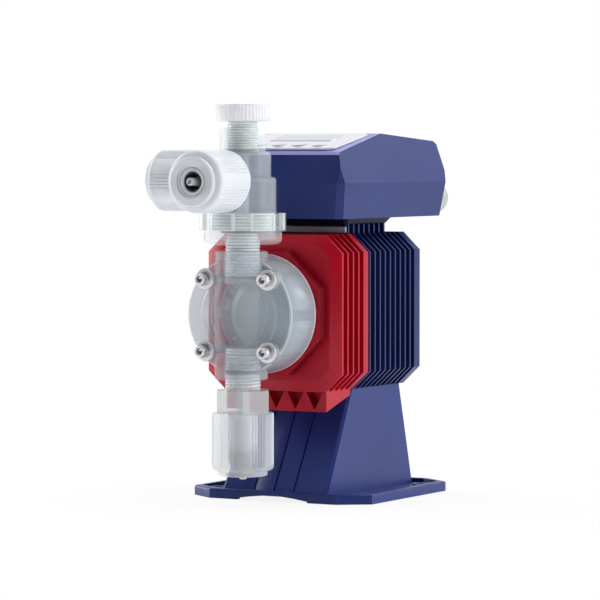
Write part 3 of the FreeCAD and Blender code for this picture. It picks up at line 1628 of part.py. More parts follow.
def operation_panel():
    """The pale panel on the slope, with holes for the keys and a seat for the display window."""
    place, turn = slope_placement()
    body = new_body("operation_panel", place, turn)
    low = dim.panel_margin
    slope_length = (dim.ridge_place + dim.case_front - dim.lid_front_lean) / math.cos(SLOPE)
    high = slope_length - dim.panel_margin
    corner = dim.panel_corner
    outline = cut_corners(dim.panel_half_width, low, high, corner, corner)
    sketch = polygon(new_sketch(body, "sheet", "XY_Plane", dim.running_gap), outline)
    pad(body, sketch, dim.panel_thickness)
    hole = dim.key_radius + dim.free_gap
    round_post(body, "key_hole", key_places(), hole, -1, dim.panel_thickness + 3, cut=True)
    seat = cut_corners(
        dim.window_half_width + dim.seat_gap,
        dim.window_place - dim.window_half_height - dim.seat_gap,
        dim.window_place + dim.window_half_height + dim.seat_gap,
        1,
        1,
    )
    top = dim.panel_thickness + dim.running_gap
    recess = polygon(new_sketch(body, "window_seat", "XY_Plane", top), seat)
    pocket(body, recess, dim.window_thickness)

    window = new_body("display_window", place, turn)
    outline = cut_corners(
        dim.window_half_width,
        dim.window_place - dim.window_half_height,
        dim.window_place + dim.window_half_height,
        1,
        1,
    )
    glass = polygon(new_sketch(window, "glass", "XY_Plane", top - dim.window_thickness), outline)
    pad(window, glass, dim.window_thickness + 0.3)
    return body


def keys():
    """Four round keys with stems that slide in the sloped roof."""
    place, turn = slope_placement()
    for name, (x, y) in zip(("key_menu", "key_down", "key_up", "key_start"), key_places()):
        body = new_body(name, place, turn)
        cap = dim.key_gap
        round_post(body, "cap", [(x, y)], dim.key_radius, cap, dim.key_height)
        round_post(body, "stem", [(x, y)], dim.key_stem_radius, cap - dim.key_stem_length, dim.key_stem_length)


def circuit_board():
    """The electronics board on its posts, with a transformer, capacitors and terminal blocks."""
    body = new_body("circuit_board")
    low = dim.board_height + dim.seat_gap
    plate = box_corners(-dim.board_half_width + 4, dim.board_half_width - 4, -dim.board_front, dim.board_back)
    pad(body, polygon(new_sketch(body, "board", "XY_Plane", low), plate), dim.board_thickness)
    top = low + dim.board_thickness
    transformer = box_corners(-24, 6, 14, 46)
    pad(body, polygon(new_sketch(body, "transformer", "XY_Plane", top), transformer), 22)
    terminals = box_corners(-28, 28, 50, 59)
    pad(body, polygon(new_sketch(body, "terminals", "XY_Plane", top), terminals), 9)
    round_post(body, "capacitor", [(20, 26), (20, 6)], 6, top, 18)
    return body


def cable_glands():
    """Two cable glands in the rear wall, each a collar with a clamping body, and their domed nuts."""
    wall_back = dim.case_back - dim.case_bottom_inset
    collar_end = wall_back + dim.gland_collar
    body_outline = [
        (wall_back - 7, dim.gland_bore_radius),
        (wall_back - 7, dim.gland_thread_radius),
        (wall_back, dim.gland_thread_radius),
        (wall_back, dim.gland_radius),
        (collar_end, dim.gland_radius),
        (collar_end, dim.gland_thread_radius),
        (collar_end + dim.gland_nut_length - 5, dim.gland_thread_radius),
        (collar_end + dim.gland_nut_length - 5, dim.gland_bore_radius),
    ]
    for name, x in (("power", dim.gland_across), ("signal", -dim.gland_across)):
        turned_y(new_body(f"{name}_gland", (x, 0, dim.gland_height)), "gland", body_outline)
    start = collar_end + dim.seat_gap
    end = start + dim.gland_nut_length
    radius = dim.gland_radius
    nut_outline = [
        (start, dim.gland_thread_radius + dim.seat_gap),
        (start, radius),
        (end - 5, radius),
        (end - 2.2, radius - 1.6),
        (end - 0.6, radius - 3.8),
        (end, radius - 5.6),
        (end, dim.gland_bore_radius),
        (end - 4, dim.gland_bore_radius),
        (end - 4, dim.gland_thread_radius + dim.seat_gap),
    ]
    nuts = new_body("gland_nuts", (-dim.gland_across, 0, dim.gland_height))
    dome = turned_y(nuts, "dome", nut_outline)
    repeated(nuts, dome, "X_Axis", dim.gland_across * 2, 2)


def build():
    """Make every piece of the pump."""
    base_stand()
    under_screws()
    front_bracket()
    bracket_ribs()
    drive_housing()
    housing_fins()
    rear_cover()
    rear_screws()
    stroke_stop()
    stroke_knob()
    solenoid()
    diaphragm()
    pump_head()
    head_fasteners()
    suction_side()
    discharge_side()
    vent_parts()
    reach = dim.discharge_reach
    forwards = Rotation(Vector(1, 0, 0), 90)
    leftwards = Rotation(Vector(0, 1, 0), -90)
    tube_joint("discharge", (0, VALVE_Y - reach, dim.port_height), forwards)
    tube_joint("air", (-reach, VALVE_Y, dim.port_height), leftwards)
    neck_collar()
    controller_case()
    controller_lid()
    operation_panel()
    keys()
    circuit_board()
    cable_glands()
    doc.recompute()


def check():
    """Stop if a feature failed, cut nothing or added nothing, or if a piece isn't a sound solid."""
    faults = []
    for thing in doc.Objects:
        if "Invalid" in thing.State or "Error" in thing.State:
            faults.append(f"{thing.Label} failed: {thing.getStatusString()}")
            continue
        base = getattr(thing, "BaseFeature", None)
        if base is None or not thing.isDerivedFrom("PartDesign::Feature"):
            continue
        change = thing.Shape.Volume - base.Shape.Volume
        if abs(change) < 0.01:
            faults.append(f"{thing.Label} changed nothing")
        takes_away = thing.TypeId.split("::")[1] in ("Pocket", "Groove", "SubtractiveLoft")
        if takes_away and change > 0:
            faults.append(f"{thing.Label} added material")
    for piece in pieces():
        if piece.Shape.isNull() or not piece.Shape.isValid() or not piece.Shape.Solids:
            faults.append(f"{piece.Label} is not a sound solid")
    if faults:
        raise RuntimeError("; ".join(faults))


def pieces():
    """The document's sub-parts."""
    kinds = ("PartDesign::Body", "Part::Feature")
    return [thing for thing in doc.Objects if thing.TypeId in kinds]


def write():
    """Write each piece to its own STEP file."""
    os.makedirs("parts", exist_ok=True)
    for piece in pieces():
        piece.Shape.exportStep(f"parts/{piece.Label}.step")


build()
check()
write()
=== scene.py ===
import json
import math

import bmesh
import bpy
from mathutils import Matrix, Vector


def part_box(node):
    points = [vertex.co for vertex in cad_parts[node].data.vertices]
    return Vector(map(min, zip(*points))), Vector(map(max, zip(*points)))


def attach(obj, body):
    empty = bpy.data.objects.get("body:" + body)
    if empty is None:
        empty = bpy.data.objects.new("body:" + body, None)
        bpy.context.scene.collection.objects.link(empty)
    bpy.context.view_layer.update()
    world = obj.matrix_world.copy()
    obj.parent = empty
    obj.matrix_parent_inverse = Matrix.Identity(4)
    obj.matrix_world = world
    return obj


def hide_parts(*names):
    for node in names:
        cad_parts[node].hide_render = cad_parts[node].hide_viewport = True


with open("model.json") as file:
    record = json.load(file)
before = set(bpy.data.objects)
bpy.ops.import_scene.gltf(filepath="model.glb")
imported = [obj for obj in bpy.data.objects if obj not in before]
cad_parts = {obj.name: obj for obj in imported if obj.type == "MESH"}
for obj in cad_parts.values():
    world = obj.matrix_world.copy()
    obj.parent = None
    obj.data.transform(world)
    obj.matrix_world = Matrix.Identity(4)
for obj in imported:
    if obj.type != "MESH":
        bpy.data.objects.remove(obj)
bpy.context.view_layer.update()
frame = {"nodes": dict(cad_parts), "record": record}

NODES = frame["nodes"]
BODIES = frame["record"]["behaviour"]["bodies"]
BODY_OF = {node: body for body, nodes in BODIES.items() for node in nodes}
SLOT_OF = {part["node"]: part["material_slot"] for part in frame["record"]["subparts"]}

# One millimetre in metres; lengths below are in millimetres where they don't say otherwise
MM = 0.001
FULL_TURN = 2 * math.pi
QUARTER_TURN = math.pi / 2


def heights(node):
    """Lowest and highest point of a CAD node."""
    low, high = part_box(node)
    return low.z / MM, high.z / MM


def depths(node):
    """Foremost and rearmost point of a CAD node."""
    front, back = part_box(node)
    return front.y / MM, back.y / MM


# Places that several pieces share

AXIS_Z = 123.0
VALVE_Y = -103.0
BRACKET_TOP = heights("front_bracket")[1]
NUT_REACH = VALVE_Y - depths("discharge_nut")[0]
NUT_FACE_LOW = heights("suction_nut")[0]
PORT_Z = sum(heights("discharge_nut")) / 2
HEAD_SEAT = -depths("pump_head")[1]
BOLT_HALF_PITCH = 23.1


# Camera, floor, world and lamps

def linked(name, data):
    """A new object in the scene."""
    thing = bpy.data.objects.new(name, data)
    bpy.context.scene.collection.objects.link(thing)
    return thing


def aim(thing, place, target):
    """Put a camera or lamp at a place in metres and point it at another."""
    thing.location = place
    thing.rotation_euler = (Vector(target) - Vector(place)).to_track_quat("-Z", "Y").to_euler()


def make_camera():
    data = bpy.data.cameras.new("camera")
    data.lens = 210.0
    data.sensor_width = 36.0
    data.clip_start = 0.1
    data.clip_end = 50.0
    camera = linked("camera", data)
    aim(camera, (1.132, -2.037, 0.2305), (-0.0018, -0.0252, 0.1297))
    bpy.context.scene.camera = camera


def make_lamp(name, place, target, size, power):
    """A rectangular lamp, its size in metres and its power in watts."""
    data = bpy.data.lights.new(name, "AREA")
    data.shape = "RECTANGLE"
    data.size, data.size_y = size
    data.energy = power
    aim(linked(name, data), place, target)


def add_node(tree, kind, values=None):
    """A new shader node with the given values on its inputs."""
    node = tree.nodes.new(kind)
    for socket, value in (values or {}).items():
        node.inputs[socket].default_value = value
    return node


def connect(value, node, socket):
    """Feed an output into an input of a node."""
    node.id_data.links.new(value, node.inputs[socket])


def axes(tree, kind):
    """Texture coordinates of a kind, split into X, Y and Z."""
    coords = add_node(tree, "ShaderNodeTexCoord")
    parts = add_node(tree, "ShaderNodeSeparateXYZ")
    connect(coords.outputs[kind], parts, 0)
    return parts.outputs


def mixed(tree, factor, first, second):
    """The first shader where the factor is zero and the second where it is one."""
    node = add_node(tree, "ShaderNodeMixShader")
    for socket, value in enumerate((factor, first, second)):
        connect(value, node, socket)
    return node.outputs[0]


def seen_directly(tree):
    """One for camera rays and for rays that come through clear plastic."""
    path = add_node(tree, "ShaderNodeLightPath")
    either = add_node(tree, "ShaderNodeMath")
    either.operation = "MAXIMUM"
    connect(path.outputs["Is Camera Ray"], either, 0)
    connect(path.outputs["Is Transmission Ray"], either, 1)
    return either.outputs[0]


def make_world():
    """White to look at; as a light it is bright behind and beside the object and dim in front."""
    world = bpy.data.worlds.new("studio")
    bpy.context.scene.world = world
    world.use_nodes = True
    tree = world.node_tree
    tree.nodes.clear()
    span = {"From Min": -0.62, "From Max": 0.85, "To Min": 0.03, "To Max": 0.85}
    depth = add_node(tree, "ShaderNodeMapRange", span)
    depth.interpolation_type = "SMOOTHSTEP"
    connect(axes(tree, "Generated")["Y"], depth, "Value")
    light = add_node(tree, "ShaderNodeBackground", {"Color": (0.93, 0.95, 1.0, 1)})
    connect(depth.outputs["Result"], light, "Strength")
    white = add_node(tree, "ShaderNodeBackground", {"Color": (1, 1, 1, 1), "Strength": 1.0})
    out = add_node(tree, "ShaderNodeOutputWorld")
    shown = mixed(tree, seen_directly(tree), light.outputs[0], white.outputs[0])
    connect(shown, out, "Surface")


def make_floor():
    """A pale floor that runs out into white, just under the object."""
    reach, drop = 6.0, 0.0003
    corners = [(-reach, -reach, 0), (reach, -reach, 0), (reach, reach, 0), (-reach, reach, 0)]
    mesh = bpy.data.meshes.new("floor")
    mesh.from_pydata(corners, [], [(0, 1, 2, 3)])
    floor = linked("floor", mesh)
    floor.location.z = -drop
    material = bpy.data.materials.new("floor")
    material.use_nodes = True
    tree = material.node_tree
    tree.nodes.clear()
    diffuse = add_node(tree, "ShaderNodeBsdfDiffuse", {"Color": (0.93, 0.93, 0.94, 1)})
    white = add_node(tree, "ShaderNodeEmission", {"Color": (1, 1, 1, 1), "Strength": 1.0})
    coords = add_node(tree, "ShaderNodeTexCoord")
    distance = add_node(tree, "ShaderNodeVectorMath")
    distance.operation = "LENGTH"
    connect(coords.outputs["Object"], distance, 0)
    span = {"From Min": 0.10, "From Max": 0.30, "To Min": 0.86, "To Max": 1.0}
    spread = add_node(tree, "ShaderNodeMapRange", span)
    connect(distance.outputs["Value"], spread, "Value")
    faded = mixed(tree, spread.outputs["Result"], diffuse.outputs[0], white.outputs[0])
    out = add_node(tree, "ShaderNodeOutputMaterial")
    connect(mixed(tree, seen_directly(tree), diffuse.outputs[0], faded), out, "Surface")
    mesh.materials.append(material)


# Building blocks of the materials

def principled(name):
    """A new material with its node tree and its shader."""
    material = bpy.data.materials.new(name)
    material.use_nodes = True
    tree = material.node_tree
    return material, tree, tree.nodes["Principled BSDF"]


def noise(tree, scale, detail=2.0, roughness=0.5):
    """Noise over the object, its scale per metre."""
    coords = add_node(tree, "ShaderNodeTexCoord")
    values = {"Scale": scale, "Detail": detail, "Roughness": roughness}
    node = add_node(tree, "ShaderNodeTexNoise", values)
    connect(coords.outputs["Object"], node, "Vector")
    return node.outputs["Fac"]


def ramp(tree, value, low, high, color_low, color_high):
    """One colour up to the value low, another from the value high, and a blend between them."""
    node = add_node(tree, "ShaderNodeValToRGB")
    first, last = node.color_ramp.elements
    first.position, last.position = low, high
    first.color, last.color = (*color_low, 1), (*color_high, 1)
    connect(value, node, "Fac")
    return node.outputs["Color"]


def levels(tree, value, low, high):
    """A value of zero to one, spread from low to high."""
    node = add_node(tree, "ShaderNodeMapRange", {"To Min": low, "To Max": high})
    connect(value, node, "Value")
    return node.outputs["Result"]


def bump(tree, value, strength, distance):
    """Relief from a value, its height in metres."""
    node = add_node(tree, "ShaderNodeBump", {"Strength": strength, "Distance": distance})
    connect(value, node, "Height")
    return node.outputs["Normal"]


def shade(color, factor):
    return tuple(min(1.0, part * factor) for part in color)


def moulded(name, color, rough, grain=0.12, spread=0.12, coat=0.0, gloss=0.5):
    """Moulded plastic: fine spark-eroded grain, faint clouding and uneven gloss."""
    material, tree, shader = principled(name)
    cloud = noise(tree, 28.0, 3.0)
    tint = ramp(tree, cloud, 0.3, 0.7, shade(color, 1 - spread), shade(color, 1 + spread))
    connect(tint, shader, "Base Color")
    connect(levels(tree, noise(tree, 60.0), rough - 0.05, rough + 0.07), shader, "Roughness")
    connect(bump(tree, noise(tree, 2600.0), grain, 0.00012), shader, "Normal")
    shader.inputs["IOR"].default_value = 1.5
    shader.inputs["Specular IOR Level"].default_value = gloss
    shader.inputs["Coat Weight"].default_value = coat
    shader.inputs["Coat Roughness"].default_value = 0.25
    return material


def clear(name, color, rough, cover=1.0, cloud=0.05, ior=1.49, transmission=0.0):
    """Clear or frosted plastic: tinted, slightly cloudy, with a softly uneven surface."""
    material, tree, shader = principled(name)
    tint = ramp(tree, noise(tree, 45.0, 3.0), 0.3, 0.7, shade(color, 1 - cloud), color)
    connect(tint, shader, "Base Color")
    connect(levels(tree, noise(tree, 90.0), rough * 0.8, rough * 1.25), shader, "Roughness")
    connect(bump(tree, noise(tree, 420.0), 0.03, 0.0002), shader, "Normal")
    shader.inputs["Transmission Weight"].default_value = transmission
    shader.inputs["IOR"].default_value = ior
    shader.inputs["Alpha"].default_value = cover
    return material


def threads(name, crest, root, pitch):
    """Threaded plastic along Z, with painted shade: darker in the roots of the thread than on its crests.
    """
    rough = 0.22
    material, tree, shader = principled(name)
    turns = add_node(tree, "ShaderNodeMath", {1: pitch * MM})
    turns.operation = "DIVIDE"
    connect(axes(tree, "Object")["Z"], turns, 0)
    wave = add_node(tree, "ShaderNodeMath", {1: 0.5})
    wave.operation = "PINGPONG"
    connect(turns.outputs[0], wave, 0)
    connect(ramp(tree, wave.outputs[0], 0.08, 0.30, root, crest), shader, "Base Color")
    connect(levels(tree, noise(tree, 90.0), rough * 0.8, rough * 1.25), shader, "Roughness")
    return material


def graded(name, axis, start, end, first, second, rough, coat=0.0, gloss=0.5):
    """Plastic or film that runs from one colour to another between two places on an axis."""
    material, tree, shader = principled(name)
    along = add_node(tree, "ShaderNodeMapRange", {"From Min": start * MM, "From Max": end * MM})
    connect(axes(tree, "Object")[axis], along, "Value")
    connect(ramp(tree, along.outputs["Result"], 0.0, 1.0, first, second), shader, "Base Color")
    connect(levels(tree, noise(tree, 60.0), rough - 0.05, rough + 0.05), shader, "Roughness")
    shader.inputs["Specular IOR Level"].default_value = gloss
    shader.inputs["Coat Weight"].default_value = coat
    shader.inputs["Coat Roughness"].default_value = 0.2
    return material


def metal(name, color, rough, relief=0.08, metallic=1.0):
    """Turned or drawn metal: fine streaks in gloss and height."""
    material, tree, shader = principled(name)
    streak = noise(tree, 900.0, 4.0, 0.7)
    connect(ramp(tree, streak, 0.2, 0.8, shade(color, 0.9), shade(color, 1.05)), shader, "Base Color")
    connect(levels(tree, streak, rough * 0.75, rough * 1.3), shader, "Roughness")
    connect(bump(tree, streak, relief, 0.00008), shader, "Normal")
    shader.inputs["Metallic"].default_value = metallic
    return material


def rubber(name, color, rough):
    """Matt rubber: grainy, with low gloss."""
    material, tree, shader = principled(name)
    grain = noise(tree, 1500.0, 3.0)
    connect(ramp(tree, grain, 0.3, 0.7, shade(color, 0.85), shade(color, 1.15)), shader, "Base Color")
    connect(levels(tree, grain, rough - 0.06, rough + 0.08), shader, "Roughness")
    connect(bump(tree, grain, 0.12, 0.00015), shader, "Normal")
    return material


def glass(name, dark, light):
    """The coated pane of the display."""
    material, tree, shader = principled(name)
    connect(ramp(tree, noise(tree, 300.0), 0.3, 0.7, dark, light), shader, "Base Color")
    shader.inputs["Roughness"].default_value = 0.08
    shader.inputs["Coat Weight"].default_value = 1.0
    return material


# Materials

BLUE = moulded("blue_plastic", (0.011, 0.026, 0.150), 0.34, grain=0.16, spread=0.10, gloss=0.30)
# Painted shade: a darker copy of the blue plastic for the drive housing and its fins
BLUE_FINS_PAINTED_SHADE = moulded("blue_fins_painted_shade", (0.008, 0.019, 0.115), 0.36, grain=0.10, spread=0.10, gloss=0.35)
# Painted light: a lighter copy of the blue plastic for the stand
BLUE_STAND_PAINTED_LIGHT = moulded("blue_stand_painted_light", (0.014, 0.033, 0.185), 0.34, grain=0.16, spread=0.10, gloss=0.38)
RED = moulded("red_plastic", (0.48, 0.002, 0.018), 0.36, grain=0.16, spread=0.10, gloss=0.32)
# Painted shade: a dark red for the side wall of the bracket's seat
RED_SEAT_PAINTED_SHADE = moulded("red_seat_painted_shade", (0.16, 0.001, 0.006), 0.45, grain=0.10, spread=0.10, gloss=0.15)
BLACK = moulded("black_plastic", (0.012, 0.012, 0.014), 0.38)
# Painted highlight: a pale violet for the blue lid's up-facing sloping front
LID_SLOPE_PAINTED_HIGHLIGHT = moulded("lid_slope_painted_highlight", (0.27, 0.26, 0.62), 0.30, grain=0.05, spread=0.05)
GLAND = moulded("white_plastic", (0.46, 0.47, 0.44), 0.40, grain=0.06, spread=0.04, gloss=0.3)
KEY = moulded("key_grey", (0.78, 0.78, 0.83), 0.25, grain=0.06, spread=0.04, coat=0.5)
BOARD = moulded("board_green", (0.01, 0.12, 0.05), 0.4, grain=0.1)
GREY = moulded("grey_plastic", (0.42, 0.45, 0.46), 0.35, grain=0.08)
CERAMIC = moulded("ceramic_white", (0.82, 0.82, 0.80), 0.12, grain=0.0, spread=0.02)
HEAD = clear("clear_plastic", (0.57, 0.65, 0.71), 0.15, cover=0.42, cloud=0.08)
VENT = clear("vent_plastic", (0.88, 0.94, 0.95), 0.16, cover=0.26, cloud=0.08)
FROST = clear("frosted_plastic", (0.94, 0.96, 1.0), 0.36, cover=0.66, ior=1.35)
FROST_LOW = clear("suction_nut_plastic", (0.92, 0.95, 0.98), 0.30, cover=0.40, ior=1.35)
# Painted shade: dark grey for the mouth and groove of the tube nuts' holes
FROST_PAINTED_SHADE = clear("frosted_painted_shade", (0.22, 0.22, 0.25), 0.45, ior=1.25)
FROST_CLEAR = clear("ring_plastic", (0.88, 0.94, 0.94), 0.14, cover=0.20, cloud=0.06)
FITTING = clear("fitting_plastic", (0.90, 0.94, 0.95), 0.22, cover=0.72)
FITTING_LOW = clear("suction_fitting_plastic", (0.84, 0.88, 0.90), 0.20, cover=0.42)
KNOB = clear("knob_plastic", (0.97, 0.98, 1.0), 0.40, ior=1.25, transmission=0.50)
NIPPLE = clear("nipple_plastic", (0.86, 0.90, 0.91), 0.25, ior=1.42, transmission=0.25)
# Painted shade: near-black for the ferrules in the nuts' holes and the valve guides' inner ends
SMOKE_PAINTED_SHADE = clear("ferrule_painted_shade", (0.05, 0.055, 0.06), 0.30, ior=1.42, transmission=0.15)
BOSS = clear("boss_plastic", (0.66, 0.74, 0.79), 0.20, cover=0.26, cloud=0.06)
BORE = clear("bore_plastic", (0.88, 0.93, 0.96), 0.20, cover=0.30, cloud=0.04)
# Painted highlight: a paler, denser clear plastic for the head's lip and front edge
RIM_PAINTED_HIGHLIGHT = clear("rim_painted_highlight", (0.86, 0.89, 0.93), 0.15, cover=0.55, cloud=0.04)
# Painted light: a paler, nearly clear plastic for the pocket walls on the head's left half
LEFT_POCKET_PAINTED_LIGHT = clear("left_pocket_painted_light", (0.70, 0.76, 0.82), 0.20, cover=0.10, cloud=0.04)
# Painted highlight: a paler, denser clear plastic for the ring nut's lug bevels and ends
EDGE_PAINTED_HIGHLIGHT = clear("edge_painted_highlight", (0.92, 0.97, 0.97), 0.15, cover=0.60, cloud=0.04)
STEEL = metal("stainless", (0.66, 0.65, 0.66), 0.24, metallic=0.95)
# Painted reflection: a whiter, less metallic steel for the screws' front faces and the washers
STEEL_PAINTED_REFLECTION = metal("stainless_painted_reflection", (0.95, 0.94, 0.96), 0.40, metallic=0.35)
IRON = metal("turned_steel", (0.45, 0.46, 0.48), 0.32)
BRONZE = metal("bronze", (0.62, 0.44, 0.20), 0.35)
COPPER = metal("copper", (0.72, 0.30, 0.14), 0.35, relief=0.28)
RUBBER = rubber("black_rubber", (0.012, 0.012, 0.012), 0.6)
PALE_RUBBER = rubber("white_rubber", (0.75, 0.77, 0.76), 0.5)
GLASS = glass("display_glass", (0.60, 0.62, 0.66), (0.66, 0.68, 0.72))

# The panel's front border is violet and its rear silver; the collar has a painted highlight, a pale band
# just over the bracket
PANEL = graded(
    "panel_film", "Y", -60.0, -50.0, (0.34, 0.32, 0.70), (0.82, 0.82, 0.86), 0.21, coat=0.6,
)
COLLAR_PAINTED_HIGHLIGHT = graded(
    "collar_painted_highlight", "Z", BRACKET_TOP + 4.0, BRACKET_TOP + 4.8,
    (0.62, 0.60, 0.68), (0.004, 0.006, 0.026), 0.4, gloss=0.15,
)

# Pitches of the threads
COARSE_PITCH = 2.0
FINE_PITCH = 1.7
PORT_PITCH = 1.6
RING_PITCH = 2.1
COARSE = threads("coarse_thread", (0.93, 0.96, 0.98), (0.42, 0.47, 0.50), COARSE_PITCH)
FINE = threads("fine_thread", (0.93, 0.97, 0.97), (0.46, 0.52, 0.52), FINE_PITCH)
PORT_THREAD = threads("port_thread", (0.93, 0.96, 0.98), (0.40, 0.45, 0.48), PORT_PITCH)
RING_THREAD = threads("ring_thread", (0.95, 0.98, 0.98), (0.42, 0.48, 0.48), RING_PITCH)

LOOK_OF_SLOT = {
    "blue_plastic": BLUE,
    "red_plastic": RED,
    "clear_plastic": HEAD,
    "frosted_plastic": FROST,
    "black_plastic": BLACK,
    "grey_plastic": GREY,
    "white_plastic": GLAND,
    "ceramic_white": CERAMIC,
    "black_rubber": RUBBER,
    "white_rubber": PALE_RUBBER,
    "stainless": STEEL,
    "steel": IRON,
    "bronze": BRONZE,
    "copper": COPPER,
    "board_green": BOARD,
    "panel_film": PANEL,
    "display_grey": GLASS,
    "key_grey": KEY,
}
LOOK_OF_NODE = {
    "drive_housing": BLUE_FINS_PAINTED_SHADE,
    "housing_fins": BLUE_FINS_PAINTED_SHADE,
    "base_stand": BLUE_STAND_PAINTED_LIGHT,
    "vent_body": VENT,
    "neck_collar": COLLAR_PAINTED_HIGHLIGHT,
    "suction_fitting": FITTING_LOW,
}


def dress_nodes():
    """Give every CAD node its own look, or else that of its slot."""
    for name, node in NODES.items():
        node.data.materials.clear()
        node.data.materials.append(LOOK_OF_NODE.get(name, LOOK_OF_SLOT[SLOT_OF[name]]))


# Pieces

CAD_EDGE_ANGLE = 28.0
PIECE_EDGE_ANGLE = 32.0


def smooth(mesh, angle):
    """Smooth shading, apart from edges sharper than an angle in degrees."""
    for polygon in mesh.polygons:
        polygon.use_smooth = True
    mesh.set_sharp_from_angle(angle=math.radians(angle))


def declare(piece, node, replaces=True):
    """Say which CAD node a piece stands for or belongs to."""
    if replaces:
        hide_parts(node)
    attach(piece, BODY_OF[node])


def softened(node, width):
    """A copy of a CAD piece with its coplanar faces joined and its edges rounded, which replaces it."""
    weld, flat = 0.002 * MM, math.radians(0.6)
    source = NODES[node].data
    bm = bmesh.new()
    bm.from_mesh(source)
    bmesh.ops.remove_doubles(bm, verts=bm.verts, dist=weld)
    bmesh.ops.dissolve_limit(bm, angle_limit=flat, verts=bm.verts, edges=bm.edges)
    mesh = bpy.data.meshes.new(f"{node}_piece")
    bm.to_mesh(mesh)
    bm.free()
    mesh.materials.append(source.materials[0])
    smooth(mesh, CAD_EDGE_ANGLE)
    piece = linked(f"{node}_piece", mesh)
    bevel = piece.modifiers.new("edges", "BEVEL")
    bevel.width = width * MM
    bevel.segments = 2
    bevel.limit_method = "ANGLE"
    bevel.angle_limit = math.radians(CAD_EDGE_ANGLE)
    bevel.harden_normals = True
    declare(piece, node)
    return piece


def add_piece(name, mesh, materials, node, matrix=None, replaces=True, angle=PIECE_EDGE_ANGLE):
    """Put a mesh given in millimetres into the scene as a piece that replaces a CAD node or adds to it."""
    if matrix is not None:
        mesh.transform(matrix)
    mesh.transform(Matrix.Scale(MM, 4))
    for material in materials:
        mesh.materials.append(material)
    smooth(mesh, angle)
    piece = linked(name, mesh)
    declare(piece, node, replaces)
    return piece


def paint(mesh, index, wanted):
    """Give another of its materials to the mesh's faces whose centre and normal pass a test."""
    for polygon in mesh.polygons:
        if wanted(polygon.center, polygon.normal):
            polygon.material_index = index


# Meshes

AXIS_TOLERANCE = 1e-6


def polar(bm, radius, turn, height):
    """A new corner at an angle round Z."""
    return bm.verts.new((radius * math.cos(turn), radius * math.sin(turn), height))


def outward(bm, name):
    """The finished mesh of a bmesh, with its faces turned outwards."""
    bmesh.ops.recalc_face_normals(bm, faces=bm.faces)
    mesh = bpy.data.meshes.new(name)
    bm.to_mesh(mesh)
    bm.free()
    return mesh


def revolve(bm, outline, segments, warp):
    """Turn a closed outline of (radius, height) corners about Z.

    warp(radius, height, turn, index) gives a corner's radius and height at a turn.
    """
    rings = []
    for index, (radius, height) in enumerate(outline):
        if radius < AXIS_TOLERANCE:
            rings.append([bm.verts.new((0, 0, height))])
            continue
        ring = []
        for step in range(segments):
            turn = FULL_TURN * step / segments
            r, h = warp(radius, height, turn, index) if warp else (radius, height)
            ring.append(polar(bm, r, turn, h))
        rings.append(ring)
    for ring, following in zip(rings, rings[1:] + rings[:1]):
        if len(ring) == 1 and len(following) == 1:
            continue
        for step in range(segments):
            after = (step + 1) % segments
            corners = [
                ring[step % len(ring)], ring[after % len(ring)],
                following[after % len(following)], following[step % len(following)],
            ]
            unique = list(dict.fromkeys(corners))
            if len(unique) > 2:
                bm.faces.new(unique)


def lathe(name, outline, segments, warp=None):
    """The mesh of a closed outline turned about Z."""
    bm = bmesh.new()
    revolve(bm, outline, segments, warp)
    return outward(bm, name)


def bar(bm, rows):
    """Close rows of corners into a bar. Gives the faces along it, step by step, and its two ends."""
    along = []
    for row, following in zip(rows, rows[1:]):
        row_after = row[1:] + row[:1]
        following_after = following[1:] + following[:1]
        quads = zip(row, row_after, following_after, following)
        along.append([bm.faces.new(quad) for quad in quads])
    ends = [bm.faces.new(list(reversed(rows[0]))), bm.faces.new(rows[-1])]
    return along, ends


def prism(name, corners, low, high):
    """A straight prism over corners in the XY plane."""
    bm = bmesh.new()
    bar(bm, [[bm.verts.new((x, y, height)) for x, y in corners] for height in (low, high)])
    return outward(bm, name)


def rounded(outline, radius, steps):
    """A closed outline whose corners are rounded off."""
    result = []
    for index, corner in enumerate(outline):
        before = Vector(outline[index - 1])
        here = Vector(corner)
        after = Vector(outline[(index + 1) % len(outline)])
        reach = min(radius, (before - here).length * 0.45, (after - here).length * 0.45)
        start = here + (before - here).normalized() * reach
        end = here + (after - here).normalized() * reach
        for step in range(steps + 1):
            part = step / steps
            point = start.lerp(here, part).lerp(here.lerp(end, part), part)
            result.append((point.x, point.y))
    return result


def threaded(root, crest, low, high, pitch):
    """The wall of a screw thread from one height to another, and the warp that forms its ridge."""
    rows_per_turn = 6
    runout = pitch * 0.8
    rows = max(4, int((high - low) / pitch * rows_per_turn))
    half = (high - low) / 2
    middle = (high + low) / 2
    wall = [(root, low + (high - low) * row / rows) for row in range(rows + 1)]

    def warp(radius, height, turn, index):
        if radius < root - 0.01:
            return radius, height
        phase = ((height - low) / pitch + turn / FULL_TURN) % 1.0
        wave = 1 - abs(phase * 2 - 1)
        ridge = min(1.0, max(0.0, wave * 1.5 - 0.25))
        fade = min(1.0, (half - abs(height - middle)) / runout + 0.05)
        return root + (crest - root) * ridge * fade, height

    return wall, warp


# Tube joints, each in its own frame: outwards is up, and the nut's face is at zero

NUT_LENGTH = 40.5
NUT_R = 19.85
NUT_SHOULDER = -6.2


def port_matrix(side):
    """From a tube joint's own frame to the pump's."""
    if side == "suction":
        return Matrix.Translation((0, VALVE_Y, NUT_FACE_LOW)) @ Matrix.Rotation(math.pi, 4, "X")
    if side == "discharge":
        return Matrix.Translation((0, VALVE_Y - NUT_REACH, PORT_Z)) @ Matrix.Rotation(QUARTER_TURN, 4, "X")
    return Matrix.Translation((-NUT_REACH, VALVE_Y, PORT_Z)) @ Matrix.Rotation(-QUARTER_TURN, 4, "Y")


